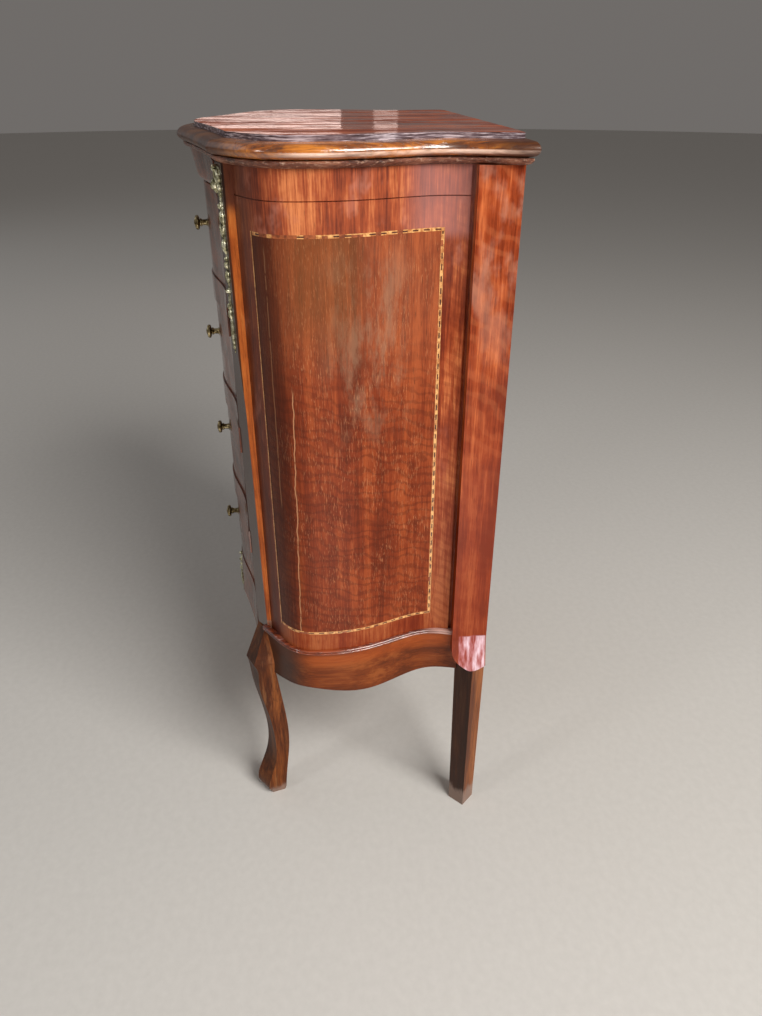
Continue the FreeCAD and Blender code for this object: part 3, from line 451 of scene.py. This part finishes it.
def make_moulding():
    """Amber moulding: thick varnish, dark worn places, painted shade at its front end, and a
    painted highlight band low on its curve.
    """
    s = Shader("moulding_honey", roughness=0.3, coat=1.0, coat_roughness=0.2)
    s.shader.inputs["Coat IOR"].default_value = VARNISH_IOR
    colour, relief = wood_colour(s, "Y", (66, 26, 6), (146, 76, 18), (216, 130, 38),
                                 broad=50, fine=500)
    worn = s.fade(s.noise(s.stretch(90, 30, 90), detail=5, rough=0.72), 0.54, 0.64)
    # Both ends get less varnish. The rear end is worn dark, and the front end is darkened too, as
    # painted shade.
    ends = s.most(s.fade(s.depth(), 0.03, 0.008), s.fade(s.depth(), 0.142, 0.165))
    # Painted highlight: a pale streaky band low on the curve, on the outward side, stands in for
    # the reflection of the bright floor.
    low_curve = s.between(s.facing("Z"), -0.62, -0.2, 0.22)
    highlight_place = s.times(s.between(s.depth(), 0.02, 0.11, 0.03), s.fade(s.facing("X"), 0.3, 0.6))
    streaks = s.fade(s.noise(s.stretch(160, 22, 160), detail=4, rough=0.6), 0.3, 0.6)
    band = s.times(s.times(low_curve, highlight_place), streaks)
    worn = s.most(s.times(worn, 0.7), s.times(ends, 0.85))
    colour = s.mix(worn, colour, srgb(54, 26, 14))
    colour = s.tint(colour, band, 0.85, srgb(255, 214, 190))
    coat = s.minus(1.0, s.times(ends, 0.85))
    normal = s.bump(s.minus(relief, worn), 0.00022, 0.6)
    return s.finish(colour, normal, s.plus(s.times(worn, 0.25), 0.2), normal, coat)


def make_bead():
    """Small red-brown bead under the top, lumpy, paler on the lumps and darker between them."""
    s = Shader("bead_brown", roughness=0.4, coat=0.4, coat_roughness=0.2)
    colour, relief = wood_colour(s, "Y", (62, 24, 12), (116, 60, 38), (164, 104, 76),
                                 broad=110, fine=500)
    lumps = s.noise(s.stretch(680, 330, 680), detail=5, rough=0.75)
    wear_and_highlight = s.fade(lumps, 0.54, 0.64)
    colour = s.tint(colour, wear_and_highlight, 0.75, srgb(216, 176, 150))
    colour = s.tint(colour, s.fade(lumps, 0.45, 0.34), 0.7, srgb(44, 18, 10))
    return s.finish(colour, s.bump(lumps, 0.0014, 0.9, s.bump(relief, 0.0002, 0.8)), 0.34)


def make_reed():
    """Dark red-brown polished bead above the skirt, rubbed pale at its rear end."""
    s = Shader("reed_polished", roughness=0.26, coat=0.6, coat_roughness=0.1)
    s.shader.inputs["Coat IOR"].default_value = VARNISH_IOR
    colour, relief = wood_colour(s, "Y", (66, 22, 10), (112, 46, 22), (156, 74, 40),
                                 broad=90, fine=500)
    wear_and_highlight = s.fade(s.noise(s.stretch(200, 60, 200), detail=4, rough=0.7), 0.56, 0.68)
    wear_and_highlight = s.most(s.times(wear_and_highlight, 0.45), s.fade(s.depth(), 0.05, 0.03))
    colour = s.tint(colour, wear_and_highlight, 0.7, srgb(216, 176, 164))
    return s.finish(colour, s.bump(relief, 0.0002, 0.6), 0.26)


def make_top():
    """Glossy red-brown top in worn varnish, with a painted grey reflection along its edge."""
    s = Shader("top_polished", roughness=0.4, coat=0.4, coat_roughness=0.05, specular=0.05)
    colour, relief = wood_colour(s, "Y", (104, 40, 20), (150, 70, 42), (192, 104, 66), broad=45)
    # Painted reflection: the rounded edge gets streaky grey and white colour, standing in for the
    # reflection of a bright light.
    edge = s.fade(s.facing("Z"), 0.75, 0.4)
    edge_sheen_streaks = s.noise(s.stretch(200, 60, 1500), detail=4, rough=0.7)
    edge_reflection = s.ramp(edge_sheen_streaks, [(0.36, srgb(54, 38, 38)), (0.5, srgb(116, 98, 104)),
                               (0.64, srgb(216, 202, 208))])
    colour = s.mix(edge, colour, edge_reflection)
    waves = s.noise(s.even(42), detail=4, rough=0.6, distort=0.6)
    varnish = s.noise(s.stretch(64, 15, 34), detail=6, rough=0.72, distort=0.6)
    coat = s.times(s.fade(varnish, 0.42, 0.56), 0.7)
    rough = s.plus(s.times(edge, 0.1), 0.4)
    grain, varnish_waves = s.bump(relief, 0.00004, 0.4), s.bump(waves, 0.00045, 1.0)
    return s.finish(colour, grain, rough, varnish_waves, coat)


def make_drawer_face():
    """Dark veneer of the front under a mirror-like varnish."""
    s = Shader("drawer_face", roughness=0.34, coat=1.0, coat_roughness=0.03, specular=0.2)
    colour, relief = wood_colour(s, "X", (62, 26, 13), (93, 42, 22), (128, 64, 34), broad=60)
    figure = s.wave(s.stretch(1, 1, 1, turn=(0, 20, 0)), 30, 6, 3, "X", 1.5)
    colour = s.tint(colour, s.fade(figure, 0.5, 0.9), 0.26, srgb(136, 68, 34))
    waves = s.noise(s.stretch(60, 60, 26), detail=3)
    varnish = s.noise(s.stretch(90, 90, 40), detail=4, rough=0.65)
    coat = s.plus(s.times(s.fade(varnish, 0.35, 0.65), 0.5), 0.5)
    grain, varnish_waves = s.bump(relief, 0.00004, 0.4), s.bump(waves, 0.0002, 0.8)
    return s.finish(colour, grain, 0.34, varnish_waves, coat)


def make_inner():
    """Plain pale wood of the inside and back."""
    s = Shader("inner_plain", roughness=0.7)
    colour, relief = wood_colour(s, "X", (132, 92, 54), (168, 126, 80), (192, 152, 102),
                                 broad=40, fine=500)
    stain = s.fade(s.noise(s.even(14), detail=4, rough=0.6), 0.5, 0.75)
    colour = s.tint(colour, stain, 0.35, srgb(112, 74, 42))
    return s.finish(colour, s.bump(relief, 0.0001, 0.6), 0.68)


def make_brass(name, dark, middle, bright):
    """Old brass, bright where rubbed and dark in the hollows."""
    s = Shader(name, roughness=0.34, metallic=0.9)
    cloud = s.noise(s.even(420), detail=4, rough=0.65)
    colour = s.ramp(cloud, [(0.34, dark), (0.48, middle), (0.62, bright)])
    fine = s.noise(s.even(1500), detail=2)
    rough = s.minus(0.58, s.times(cloud, 0.42))
    return s.finish(colour, s.bump(fine, 0.00008, 0.5), rough)


def make_string(name, dark, light):
    """One wood of the inlaid stringing."""
    s = Shader(name, roughness=0.45, coat=0.3, coat_roughness=0.2)
    cloud = s.noise(s.even(420), detail=3)
    colour = s.ramp(cloud, [(0.35, dark), (0.62, light)])
    return s.finish(colour, s.bump(cloud, 0.00004, 0.5), 0.42)


# by the CAD's material slots
MATERIALS = {
    "top_veneer": make_top(),
    "moulding_wood": make_moulding(),
    "border_veneer": make_border(),
    "field_veneer": make_field(),
    "stile_veneer": make_stile(),
    "post_wood": make_post(),
    "leg_wood": make_leg(),
    "drawer_veneer": make_drawer_face(),
    "inner_wood": make_inner(),
    "apron_veneer": make_apron(),
    "brass": make_brass("old_brass", srgb(62, 60, 44), srgb(168, 164, 130), srgb(242, 240, 214)),
    "stringing": make_string("string_light", srgb(176, 108, 54), srgb(236, 180, 112)),
}
STRING_DARK = make_string("string_dark", srgb(52, 26, 12), srgb(104, 52, 26))
STRING_WORN = make_string("string_worn", srgb(112, 52, 24), srgb(166, 90, 48))
# by a word in the part's name, where it differs from the rest of its slot
SPECIAL = {
    "cornice_bead": make_bead(),
    "lower_bead": make_reed(),
    "knob": make_brass("knob_brass", srgb(52, 42, 24), srgb(124, 106, 70), srgb(206, 190, 146)),
}
SLOTS = {part["node"]: part["material_slot"] for part in frame["record"]["subparts"]}

for name, node in NODES.items():
    special = [material for word, material in SPECIAL.items() if word in name]
    for index in range(len(node.data.materials)):
        node.data.materials[index] = special[0] if special else MATERIALS[SLOTS[name]]


# ------------------------------------------------------------------ pieces
def add_piece(name, shape, materials, body, replaces, smooth=True, level=0):
    """Turn a bmesh into a piece that rides on a body and stands for a CAD node."""
    bmesh.ops.recalc_face_normals(shape, faces=shape.faces)
    mesh = bpy.data.meshes.new(name)
    for face in shape.faces:
        face.smooth = smooth
    shape.to_mesh(mesh)
    shape.free()
    obj = bpy.data.objects.new(name, mesh)
    bpy.context.scene.collection.objects.link(obj)
    for material in materials:
        mesh.materials.append(material)
    if level:
        subdivide = obj.modifiers.new("round", "SUBSURF")
        subdivide.levels = subdivide.render_levels = level
    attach(obj, body)
    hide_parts(replaces)
    return obj


OUTSIDE = 0.3  # where rays start, well outside the case
INWARD = Vector((0, 1, 0))  # from the front
# stringing, in metres
STRING_WIDTH = 0.0019
GROOVE_WIDTH = 0.0022
DASH, UNEVEN = 0.0033, 0.2  # length of a dash, and the share of it that varies
CORE = (0.28, 0.72)  # shares of the width that the dashes fill
EDGE_LINES = (0.0, 0.0006, 0.0012)  # the worn and the light line along the front edge
TILE_STEP = 0.003
TILE_SUNK = 0.0007
LEAST_LIFT, MORE_LIFT = 0.00003, 0.00005
# where the side's plan line is probed: below the inlay's top edge, and in from its ends
STRING_PROBE, PROBE_INSET, PROBES = 0.0008, 0.00012, 240
# places in the stringing's list of materials
LIGHT, DARK, WORN, GROUND = range(4)
WEAR_SEED = 7


def tree_of(node):
    """The surface of a CAD part, to cast rays at."""
    mesh = NODES[node].data
    points = [vertex.co for vertex in mesh.vertices]
    return BVHTree.FromPolygons(points, [list(face.vertices) for face in mesh.polygons])


class SideLine:
    """The plan line of a side's inlaid face, measured along its length from the front."""

    def __init__(self, side, sign):
        frame_low, frame_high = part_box("stringing_" + side)
        inlay = tree_of("stringing_" + side)
        height = frame_high.z - STRING_PROBE
        self.bottom, self.top, self.sign = frame_low.z, frame_high.z, sign
        reach = frame_high.y - frame_low.y - 2 * PROBE_INSET
        self.points = []
        for step in range(PROBES + 1):
            y = frame_low.y + PROBE_INSET + reach * step / PROBES
            hit = inlay.ray_cast(Vector((sign * OUTSIDE, y, height)), Vector((-sign, 0, 0)))[0]
            if hit is not None:
                self.points.append(Vector((hit.x, hit.y, 0)))
        self.marks = [0.0]
        for start, end in zip(self.points, self.points[1:]):
            self.marks.append(self.marks[-1] + (end - start).length)
        self.length = self.marks[-1]

    def at(self, along, z, out):
        """A point on the face, at a distance along it, lifted out from it."""
        along = min(max(along, 0.0), self.length)
        last = len(self.marks) - 2
        index = next((k for k, mark in enumerate(self.marks[1:]) if mark >= along), last)
        start, end = self.points[index], self.points[index + 1]
        share = (along - self.marks[index]) / (self.marks[index + 1] - self.marks[index])
        tangent = (end - start).normalized()
        normal = Vector((tangent.y, -tangent.x, 0)) * self.sign
        spot = start.lerp(end, share) + normal * out
        return Vector((spot.x, spot.y, z))


def add_tile(shape, line, along, heights, lift, index):
    """One inlaid slip of wood: a thin block following the face, between two heights."""
    start, end = along
    bottom, top = heights
    corners = ((bottom, -TILE_SUNK), (bottom, lift), (top, lift), (top, -TILE_SUNK))
    count = max(1, round((end - start) / TILE_STEP))
    rows = []
    for k in range(count + 1):
        s = start + (end - start) * k / count
        rows.append([shape.verts.new(line.at(s, z, out)) for z, out in corners])
    faces = [shape.faces.new(rows[0]), shape.faces.new(list(reversed(rows[-1])))]
    for first, second in zip(rows, rows[1:]):
        for k in range(4):
            other = (k + 1) % 4
            faces.append(shape.faces.new((first[k], second[k], second[other], first[other])))
    for face in faces:
        face.material_index = index


def add_dashes(place, start, end, random, worn):
    """Light edge lines with a core of light and dark dashes.

    place lays one slip, from its span, its two shares of the width and its material. worn gives
    the chance that a dash is worn, from its share of the way.
    """
    smallest = 1e-6
    spot, dark = start, False
    while spot < end - smallest:
        run = min(DASH * (1 - UNEVEN / 2 + UNEVEN * random.random()), end - spot)
        wear_and_highlight = random.random() < worn((spot - start) / (end - start))
        span = (spot, spot + run)
        place(span, (0.0, CORE[0]), WORN if wear_and_highlight else LIGHT)
        place(span, CORE, WORN if wear_and_highlight else DARK if dark else LIGHT)
        place(span, (CORE[1], 1.0), WORN if wear_and_highlight and random.random() < 0.7 else LIGHT)
        spot, dark = spot + run, not dark


def add_stringing(side, sign):
    """Chequered stringing round the side veneer, worn to thin lines along its front edge."""
    line = SideLine(side, sign)
    random = Random(WEAR_SEED + sign)
    shape = bmesh.new()
    low, high, length = line.bottom, line.top, line.length

    def lift():
        return LEAST_LIFT + MORE_LIFT * random.random()

    def across(base, shares):
        return base + shares[0] * STRING_WIDTH, base + shares[1] * STRING_WIDTH

    def level_run(base):
        def place(span, shares, index):
            add_tile(shape, line, span, across(base, shares), lift(), index)
        return place

    def upright(span, shares, index):
        add_tile(shape, line, across(length - STRING_WIDTH, shares), span, lift(), index)

    def ground(along, heights):
        add_tile(shape, line, along, heights, 0.0, GROUND)

    add_dashes(level_run(high - STRING_WIDTH), GROOVE_WIDTH, length, random,
               lambda share: 0.8 if share < 0.4 else 0.2)
    add_dashes(level_run(low), GROOVE_WIDTH, length, random,
               lambda share: 0.5 if share < 0.2 else 0.15)
    add_dashes(upright, low + STRING_WIDTH, high - STRING_WIDTH, random, lambda share: 0.1)
    ground((GROOVE_WIDTH, length), (high - GROOVE_WIDTH, high - STRING_WIDTH))
    ground((GROOVE_WIDTH, length), (low + STRING_WIDTH, low + GROOVE_WIDTH))
    ground((length - GROOVE_WIDTH, length - STRING_WIDTH),
           (low + GROOVE_WIDTH, high - GROOVE_WIDTH))
    for start, end, index in zip(EDGE_LINES, EDGE_LINES[1:], (WORN, LIGHT)):
        add_tile(shape, line, (start, end), (low, high), lift(), index)
    ground((EDGE_LINES[-1], GROOVE_WIDTH), (low, high))
    materials = [MATERIALS["stringing"], STRING_DARK, STRING_WORN, MATERIALS["field_veneer"]]
    node = "stringing_" + side
    add_piece("chequered_" + node, shape, materials, CASE, node, smooth=False)


# cross-sections of a casting's ribbons: share of the half width, share of the rise
LEAF_SECTION = [(-1.0, 0.0), (-0.86, 0.5), (-0.45, 0.72), (-0.16, 0.62), (0.0, 1.0),
                (0.16, 0.62), (0.45, 0.72), (0.86, 0.5), (1.0, 0.0), (0.0, -0.12)]
ROUND_SECTION = [(-1.0, 0.0), (-0.92, 0.42), (-0.62, 0.8), (0.0, 1.0),
                 (0.62, 0.8), (0.92, 0.42), (1.0, 0.0), (0.0, -0.12)]


def oval(across, up, half_wide, half_high, k, steps):
    """Point k of an oval that closes after some steps."""
    angle = 2 * math.pi * k / steps
    return across + half_wide * math.cos(angle), up + half_high * math.sin(angle)


class Casting:
    """Cast ornament built flat in millimetres, across, up and out, then laid on a face."""

    def __init__(self):
        self.shape = bmesh.new()

    def ribbon(self, stations, section=LEAF_SECTION):
        """A shaped length through stations of (across, up, half width, rise)."""
        rings = []
        for k, (across, up, half, rise) in enumerate(stations):
            before = stations[max(k - 1, 0)]
            after = stations[min(k + 1, len(stations) - 1)]
            along = Vector((after[0] - before[0], after[1] - before[1])).normalized()
            side = Vector((along.y, -along.x))
            ring = [(across + side.x * share * half, up + side.y * share * half, height * rise)
                    for share, height in section]
            rings.append([self.shape.verts.new(point) for point in ring])
        count = len(section)
        self.shape.faces.new(rings[0])
        self.shape.faces.new(list(reversed(rings[-1])))
        for low, high in zip(rings, rings[1:]):
            for k in range(count):
                self.shape.faces.new((low[k], high[k], high[(k + 1) % count], low[(k + 1) % count]))

    def leaf(self, start, end, half, rise, sway=0.0, section=LEAF_SECTION, steps=7):
        """A pointed leaf from start to end, bowed sideways by sway."""
        start, end = Vector(start), Vector(end)
        along = end - start
        side = Vector((along.y, -along.x)).normalized()
        root, bluntness, least_width, least_rise = 0.16, 0.8, 0.12, 0.25
        stations = []
        for k in range(steps + 1):
            share = k / steps
            spot = start + along * share + side * sway * math.sin(math.pi * share)
            swell = math.sin(math.pi * min(1.0, root + (1 - root) * share)) ** bluntness
            full = max(least_width, swell)
            stations.append((spot.x, spot.y, half * full, rise * max(least_rise, full)))
        self.ribbon(stations, section)

    def drop(self, start, end, half, rise, sway=0.0):
        """A leaf with a rounded back."""
        self.leaf(start, end, half, rise, sway, ROUND_SECTION)

    def dome(self, across, up, half_wide, half_high, rise, steps=12):
        """A rounded boss."""
        rings = []
        for slope in (0, 32, 62):
            spread, lift = math.cos(math.radians(slope)), math.sin(math.radians(slope))
            ring = [oval(across, up, half_wide * spread, half_high * spread, k, steps)
                    for k in range(steps)]
            rings.append([self.shape.verts.new((x, y, rise * lift)) for x, y in ring])
        tip = self.shape.verts.new((across, up, rise))
        self.shape.faces.new(list(reversed(rings[0])))
        for low, high in zip(rings, rings[1:]):
            for k in range(steps):
                self.shape.faces.new((low[k], low[(k + 1) % steps], high[(k + 1) % steps], high[k]))
        for k in range(steps):
            self.shape.faces.new((rings[-1][k], rings[-1][(k + 1) % steps], tip))

    def flower(self, across, up, radius, rise, petals=6):
        """Petals round a boss."""
        for k in range(petals):
            angle = 2 * math.pi * (k + 0.5) / petals
            reach = Vector((math.cos(angle), math.sin(angle))) * radius
            root = (across + reach.x * 0.2, up + reach.y * 0.2)
            tip = (across + reach.x, up + reach.y)
            self.leaf(root, tip, radius * 0.36, rise * 0.62, steps=5)
        self.dome(across, up, radius * 0.34, radius * 0.34, rise, steps=10)

    def hoop(self, across, up, radius, half, rise):
        """A raised ring."""
        steps = 14
        stations = [(*oval(across, up, radius, radius, k, steps), half, rise)
                    for k in range(steps + 1)]
        self.ribbon(stations, ROUND_SECTION)

    def lay(self, name, origin, across, out, replaces, flip=False):
        """Place the ornament on a face of the case, in metres, and make it a piece."""
        for vertex in self.shape.verts:
            x, y, z = vertex.co
            spot = origin + across * (x * MM) + Vector((0, 0, y * MM)) + out * (z * MM)
            vertex.co = Vector((-spot.x, spot.y, spot.z)) if flip else spot
        return add_piece(name, self.shape, [MATERIALS["brass"]], CASE, replaces, level=1)


def cast_corner():
    """Corner mount: scrolled head with a tassel, a chain of leaves and drops, and a long tip."""
    cast = Casting()
    cast.ribbon([(0.5, 0, 0.7, 0.5), (1.4, 12, 1.3, 0.6), (0.6, 24, 1.2, 0.6), (0.0, 36, 1.6, 0.6),
                 (1.4, 48, 1.1, 0.6), (1.6, 62, 1.5, 0.6), (1.2, 78, 1.8, 0.6), (0.6, 90, 3.0, 0.7),
                 (0.0, 100, 4.2, 0.8), (0.0, 104, 3.6, 0.8)])
    cast.hoop(-2.6, 102.6, 1.5, 0.75, 2.9)
    cast.dome(-2.6, 102.6, 0.8, 0.8, 1.5)
    for reach, tip in ((-5.2, 95.5), (-3.2, 93.0), (-1.0, 92.2), (1.4, 93.6), (3.4, 96.6)):
        cast.leaf((-0.6 + reach * 0.25, 102.4), (reach, tip), 1.25, 2.5, sway=0.3 * reach / 4)
    cast.drop((-3.6, 97.6), (-3.9, 89.2), 2.1, 3.9)
    for offset in (-1.3, 0.0, 1.3):
        cast.leaf((-3.8 + offset * 0.8, 96.6), (-3.9 + offset, 89.8), 0.55, 4.6 - abs(offset))
    cast.drop((2.9, 99.4), (2.4, 94.6), 1.35, 2.2)
    cast.drop((2.7, 95.2), (2.0, 90.4), 1.5, 2.5)
    cast.dome(2.1, 89.2, 1.0, 1.5, 1.9)
    for side in (-1, 1):
        cast.leaf((1.2, 89.0), (1.0 + side * 1.2, 85.6), 0.6, 1.3, sway=side * 0.5)
    cast.flower(1.0, 83.2, 2.7, 2.5)
    cast.dome(1.0, 83.2, 1.7, 2.0, 2.7)
    cast.drop((1.8, 81.0), (3.0, 72.2), 1.35, 2.5, sway=-0.8)
    cast.leaf((0.2, 81.0), (-2.2, 73.0), 1.1, 1.7, sway=0.7)
    cast.leaf((2.6, 72.8), (-0.2, 65.4), 1.2, 2.1, sway=0.9)
    cast.drop((-2.2, 73.4), (0.4, 64.2), 1.2, 2.3, sway=-0.7)
    cast.drop((1.4, 65.8), (2.0, 57.0), 1.9, 3.0)
    cast.dome(1.8, 54.8, 1.0, 1.6, 1.9)
    cast.drop((1.7, 53.4), (1.6, 48.4), 1.5, 2.5)
    for side in (-1, 1):
        cast.leaf((1.4, 48.6), (1.0, 39.4), 0.75, 1.9, sway=side * 1.7)
    cast.dome(1.2, 43.6, 0.6, 1.2, 1.3)
    cast.flower(0.2, 36.2, 2.3, 1.9, petals=8)
    cast.dome(0.2, 36.2, 1.5, 1.7, 2.5)
    for side in (-1, 1):
        cast.leaf((0.2, 34.0), (0.2 + side * 1.6, 28.6), 0.8, 1.2, sway=side * 0.5)
    cast.drop((-0.2, 29.2), (-1.0, 23.8), 1.35, 2.2)
    cast.drop((-0.6, 25.0), (0.2, 18.6), 1.4, 2.3)
    cast.leaf((0.2, 19.6), (1.1, -1.4), 1.25, 1.9, sway=-0.4, steps=12)
    for step in range(5):
        up = 17.0 - 3.4 * step
        spread = 1.5 - 0.16 * step
        for side in (-1, 1):
            cast.leaf((0.5, up), (0.5 + side * spread, up - 2.6), 0.45, 1.4, side * 0.2, steps=4)
    return cast


def cast_apron():
    """Shell with a beaded stem between two scrolled leaves."""
    cast = Casting()
    for k in range(-3, 4):
        angle = math.radians(90 + 24 * k)
        wide, high = math.cos(angle), math.sin(angle)
        cast.leaf((0.8 * wide, 0.8 * high + 5), (7.6 * wide, 7.0 * high + 8), 1.25, 2.3)
    cast.dome(0, 15.2, 1.8, 1.9, 3.4)
    cast.dome(0, 8.6, 1.7, 2.1, 3.4)
    cast.dome(0, 3.6, 1.5, 1.6, 3.1)
    cast.dome(0, -0.4, 1.4, 1.9, 3.2)
    cast.leaf((0, -1.6), (0, -9.6), 2.0, 2.4)
    for side in (-1, 1):
        cast.leaf((side * 1.0, 3.4), (side * 14.0, -1.2), 2.3, 2.1, sway=side * 3.0, steps=10)
        cast.leaf((side * 10.0, 0.6), (side * 25.0, -2.6), 1.7, 1.7, sway=-side * 2.6, steps=10)
        cast.hoop(side * 14.6, 1.2, 1.7, 0.75, 1.7)
        cast.leaf((side * 12.0, -2.2), (side * 17.0, -7.4), 1.3, 1.4, sway=side * 0.8)
        cast.leaf((side * 2.0, -1.0), (side * 8.2, -8.0), 1.5, 1.5, sway=side * 1.0)
        cast.leaf((side * 21.0, -1.6), (side * 26.6, 2.6), 1.0, 1.2, sway=side * 0.6)
    return cast


def add_mounts():
    """Corner castings on the canted posts, and the apron casting bent to the bowed apron."""
    cant = math.radians(22.93)
    shift, sunk, tip_up, apron_height = 0.00055, 0.0001, 2 * MM, 0.15
    across = Vector((math.cos(cant), math.sin(cant), 0))
    out = Vector((math.sin(cant), -math.cos(cant), 0))
    low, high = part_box("corner_mount_right")
    post = tree_of("front_post_right")
    middle = Vector(((low.x + high.x) / 2 - shift, -OUTSIDE, (low.z + high.z) / 2))
    face = post.ray_cast(middle, INWARD)[0]
    origin = Vector((face.x, face.y, low.z + tip_up)) - out * sunk
    for side, sign in SIDES:
        cast_corner().lay("corner_casting_" + side, origin, across, out, "corner_mount_" + side,
                          flip=sign < 0)
    apron = tree_of("front_apron")
    front = apron.ray_cast(Vector((0, -OUTSIDE, apron_height)), INWARD)[0].y
    casting = cast_apron().lay("apron_casting", Vector((0, front, apron_height)),
                               Vector((1, 0, 0)), -INWARD, "apron_mount")
    for vertex in casting.data.vertices:
        spot = vertex.co
        hit = apron.ray_cast(Vector((spot.x, -OUTSIDE, spot.z)), INWARD)[0]
        if hit is not None:
            spot.y += hit.y - front


for side, sign in SIDES:
    add_stringing(side, sign)
add_mounts()


# ------------------------------------------------------------------ stage
PINK = (1, 0.72, 0.64)
# name, place, aim, width, height, power, colour
LIGHTS = [
    ("key", (1.15, 0.75, 1.35), (0.1, 0.05, 0.2), 0.9, 0.7, 32, (1, 0.965, 0.92)),
    ("front_fill", (-1.2, -2.2, 1.5), (0, 0, 0.25), 2.4, 1.8, 7, (0.93, 0.96, 1)),
    ("front_glint", (0.75, -0.95, 0.9), (0.12, -0.06, 0.4), 0.22, 0.3, 1.8, (1, 0.98, 0.95)),
    ("low_glow", (0.62, 0.04, 0.01), (0.6, 0.03, 1), 0.3, 0.4, 0.9, (1, 0.86, 0.78)),
    ("sheen_left", (-1.93, -0.13, 0.62), (0, -0.02, 0.51), 0.42, 0.09, 0.21, PINK),
    ("sheen_right", (-1.93, 0.21, 0.62), (0, 0.06, 0.51), 0.07, 0.1, 0.022, PINK),
]


def add_area(name, place, aim, width, height, power, colour):
    """A soft rectangular light, turned towards a point."""
    data = bpy.data.lights.new(name, "AREA")
    data.shape = "RECTANGLE"
    data.size, data.size_y = width, height
    data.energy = power
    data.color = colour
    lamp = bpy.data.objects.new(name, data)
    bpy.context.scene.collection.objects.link(lamp)
    lamp.location = place
    lamp.rotation_euler = (Vector(aim) - Vector(place)).to_track_quat("-Z", "Y").to_euler()


def make_floor(radius=9.0):
    """Pale floor, faintly speckled."""
    mesh = bpy.data.meshes.new("floor")
    shape = bmesh.new()
    bmesh.ops.create_circle(shape, cap_ends=True, segments=96, radius=radius)
    shape.to_mesh(mesh)
    shape.free()
    floor = bpy.data.objects.new("floor", mesh)
    bpy.context.scene.collection.objects.link(floor)
    s = Shader("pale_floor", roughness=0.8, specular=0.2)
    speckle = s.noise(s.even(160), detail=4)
    colour = s.ramp(speckle, [(0.3, srgb(206, 204, 200)), (0.7, srgb(211, 209, 205))])
    mesh.materials.append(s.finish(colour))


def make_world(colour=(1.0, 0.93, 0.88, 1), strength=0.16):
    """The dim room beyond."""
    world = bpy.data.worlds.new("studio")
    world.use_nodes = True
    background = world.node_tree.nodes["Background"]
    background.inputs["Color"].default_value = colour
    background.inputs["Strength"].default_value = strength
    bpy.context.scene.world = world


def make_camera():
    """Close viewpoint just above the top, looking down along the right side."""
    outward, above_top, forward_of_back = 0.417, 0.0269, 0.1135
    pitch, swing = math.radians(29.506), math.radians(4.8)
    data = bpy.data.cameras.new("camera")
    data.sensor_fit = "VERTICAL"
    data.sensor_height = 36.0
    data.lens = 27.23
    data.clip_start = 0.01
    camera = bpy.data.objects.new("camera", data)
    bpy.context.scene.collection.objects.link(camera)
    level = math.cos(pitch)
    forward = Vector((-math.cos(swing) * level, math.sin(swing) * level, -math.sin(pitch)))
    right = Vector((math.sin(swing), math.cos(swing), 0))
    up = right.cross(forward)
    turn = Matrix((right, up, -forward)).transposed().to_4x4()
    place = (CAD_HIGH.x + outward, BACK - forward_of_back, TOP + above_top)
    camera.matrix_world = Matrix.Translation(place) @ turn
    bpy.context.scene.camera = camera


make_floor()
make_world()
for light in LIGHTS:
    add_area(*light)
make_camera()
bpy.context.scene.view_settings.view_transform = "Standard"
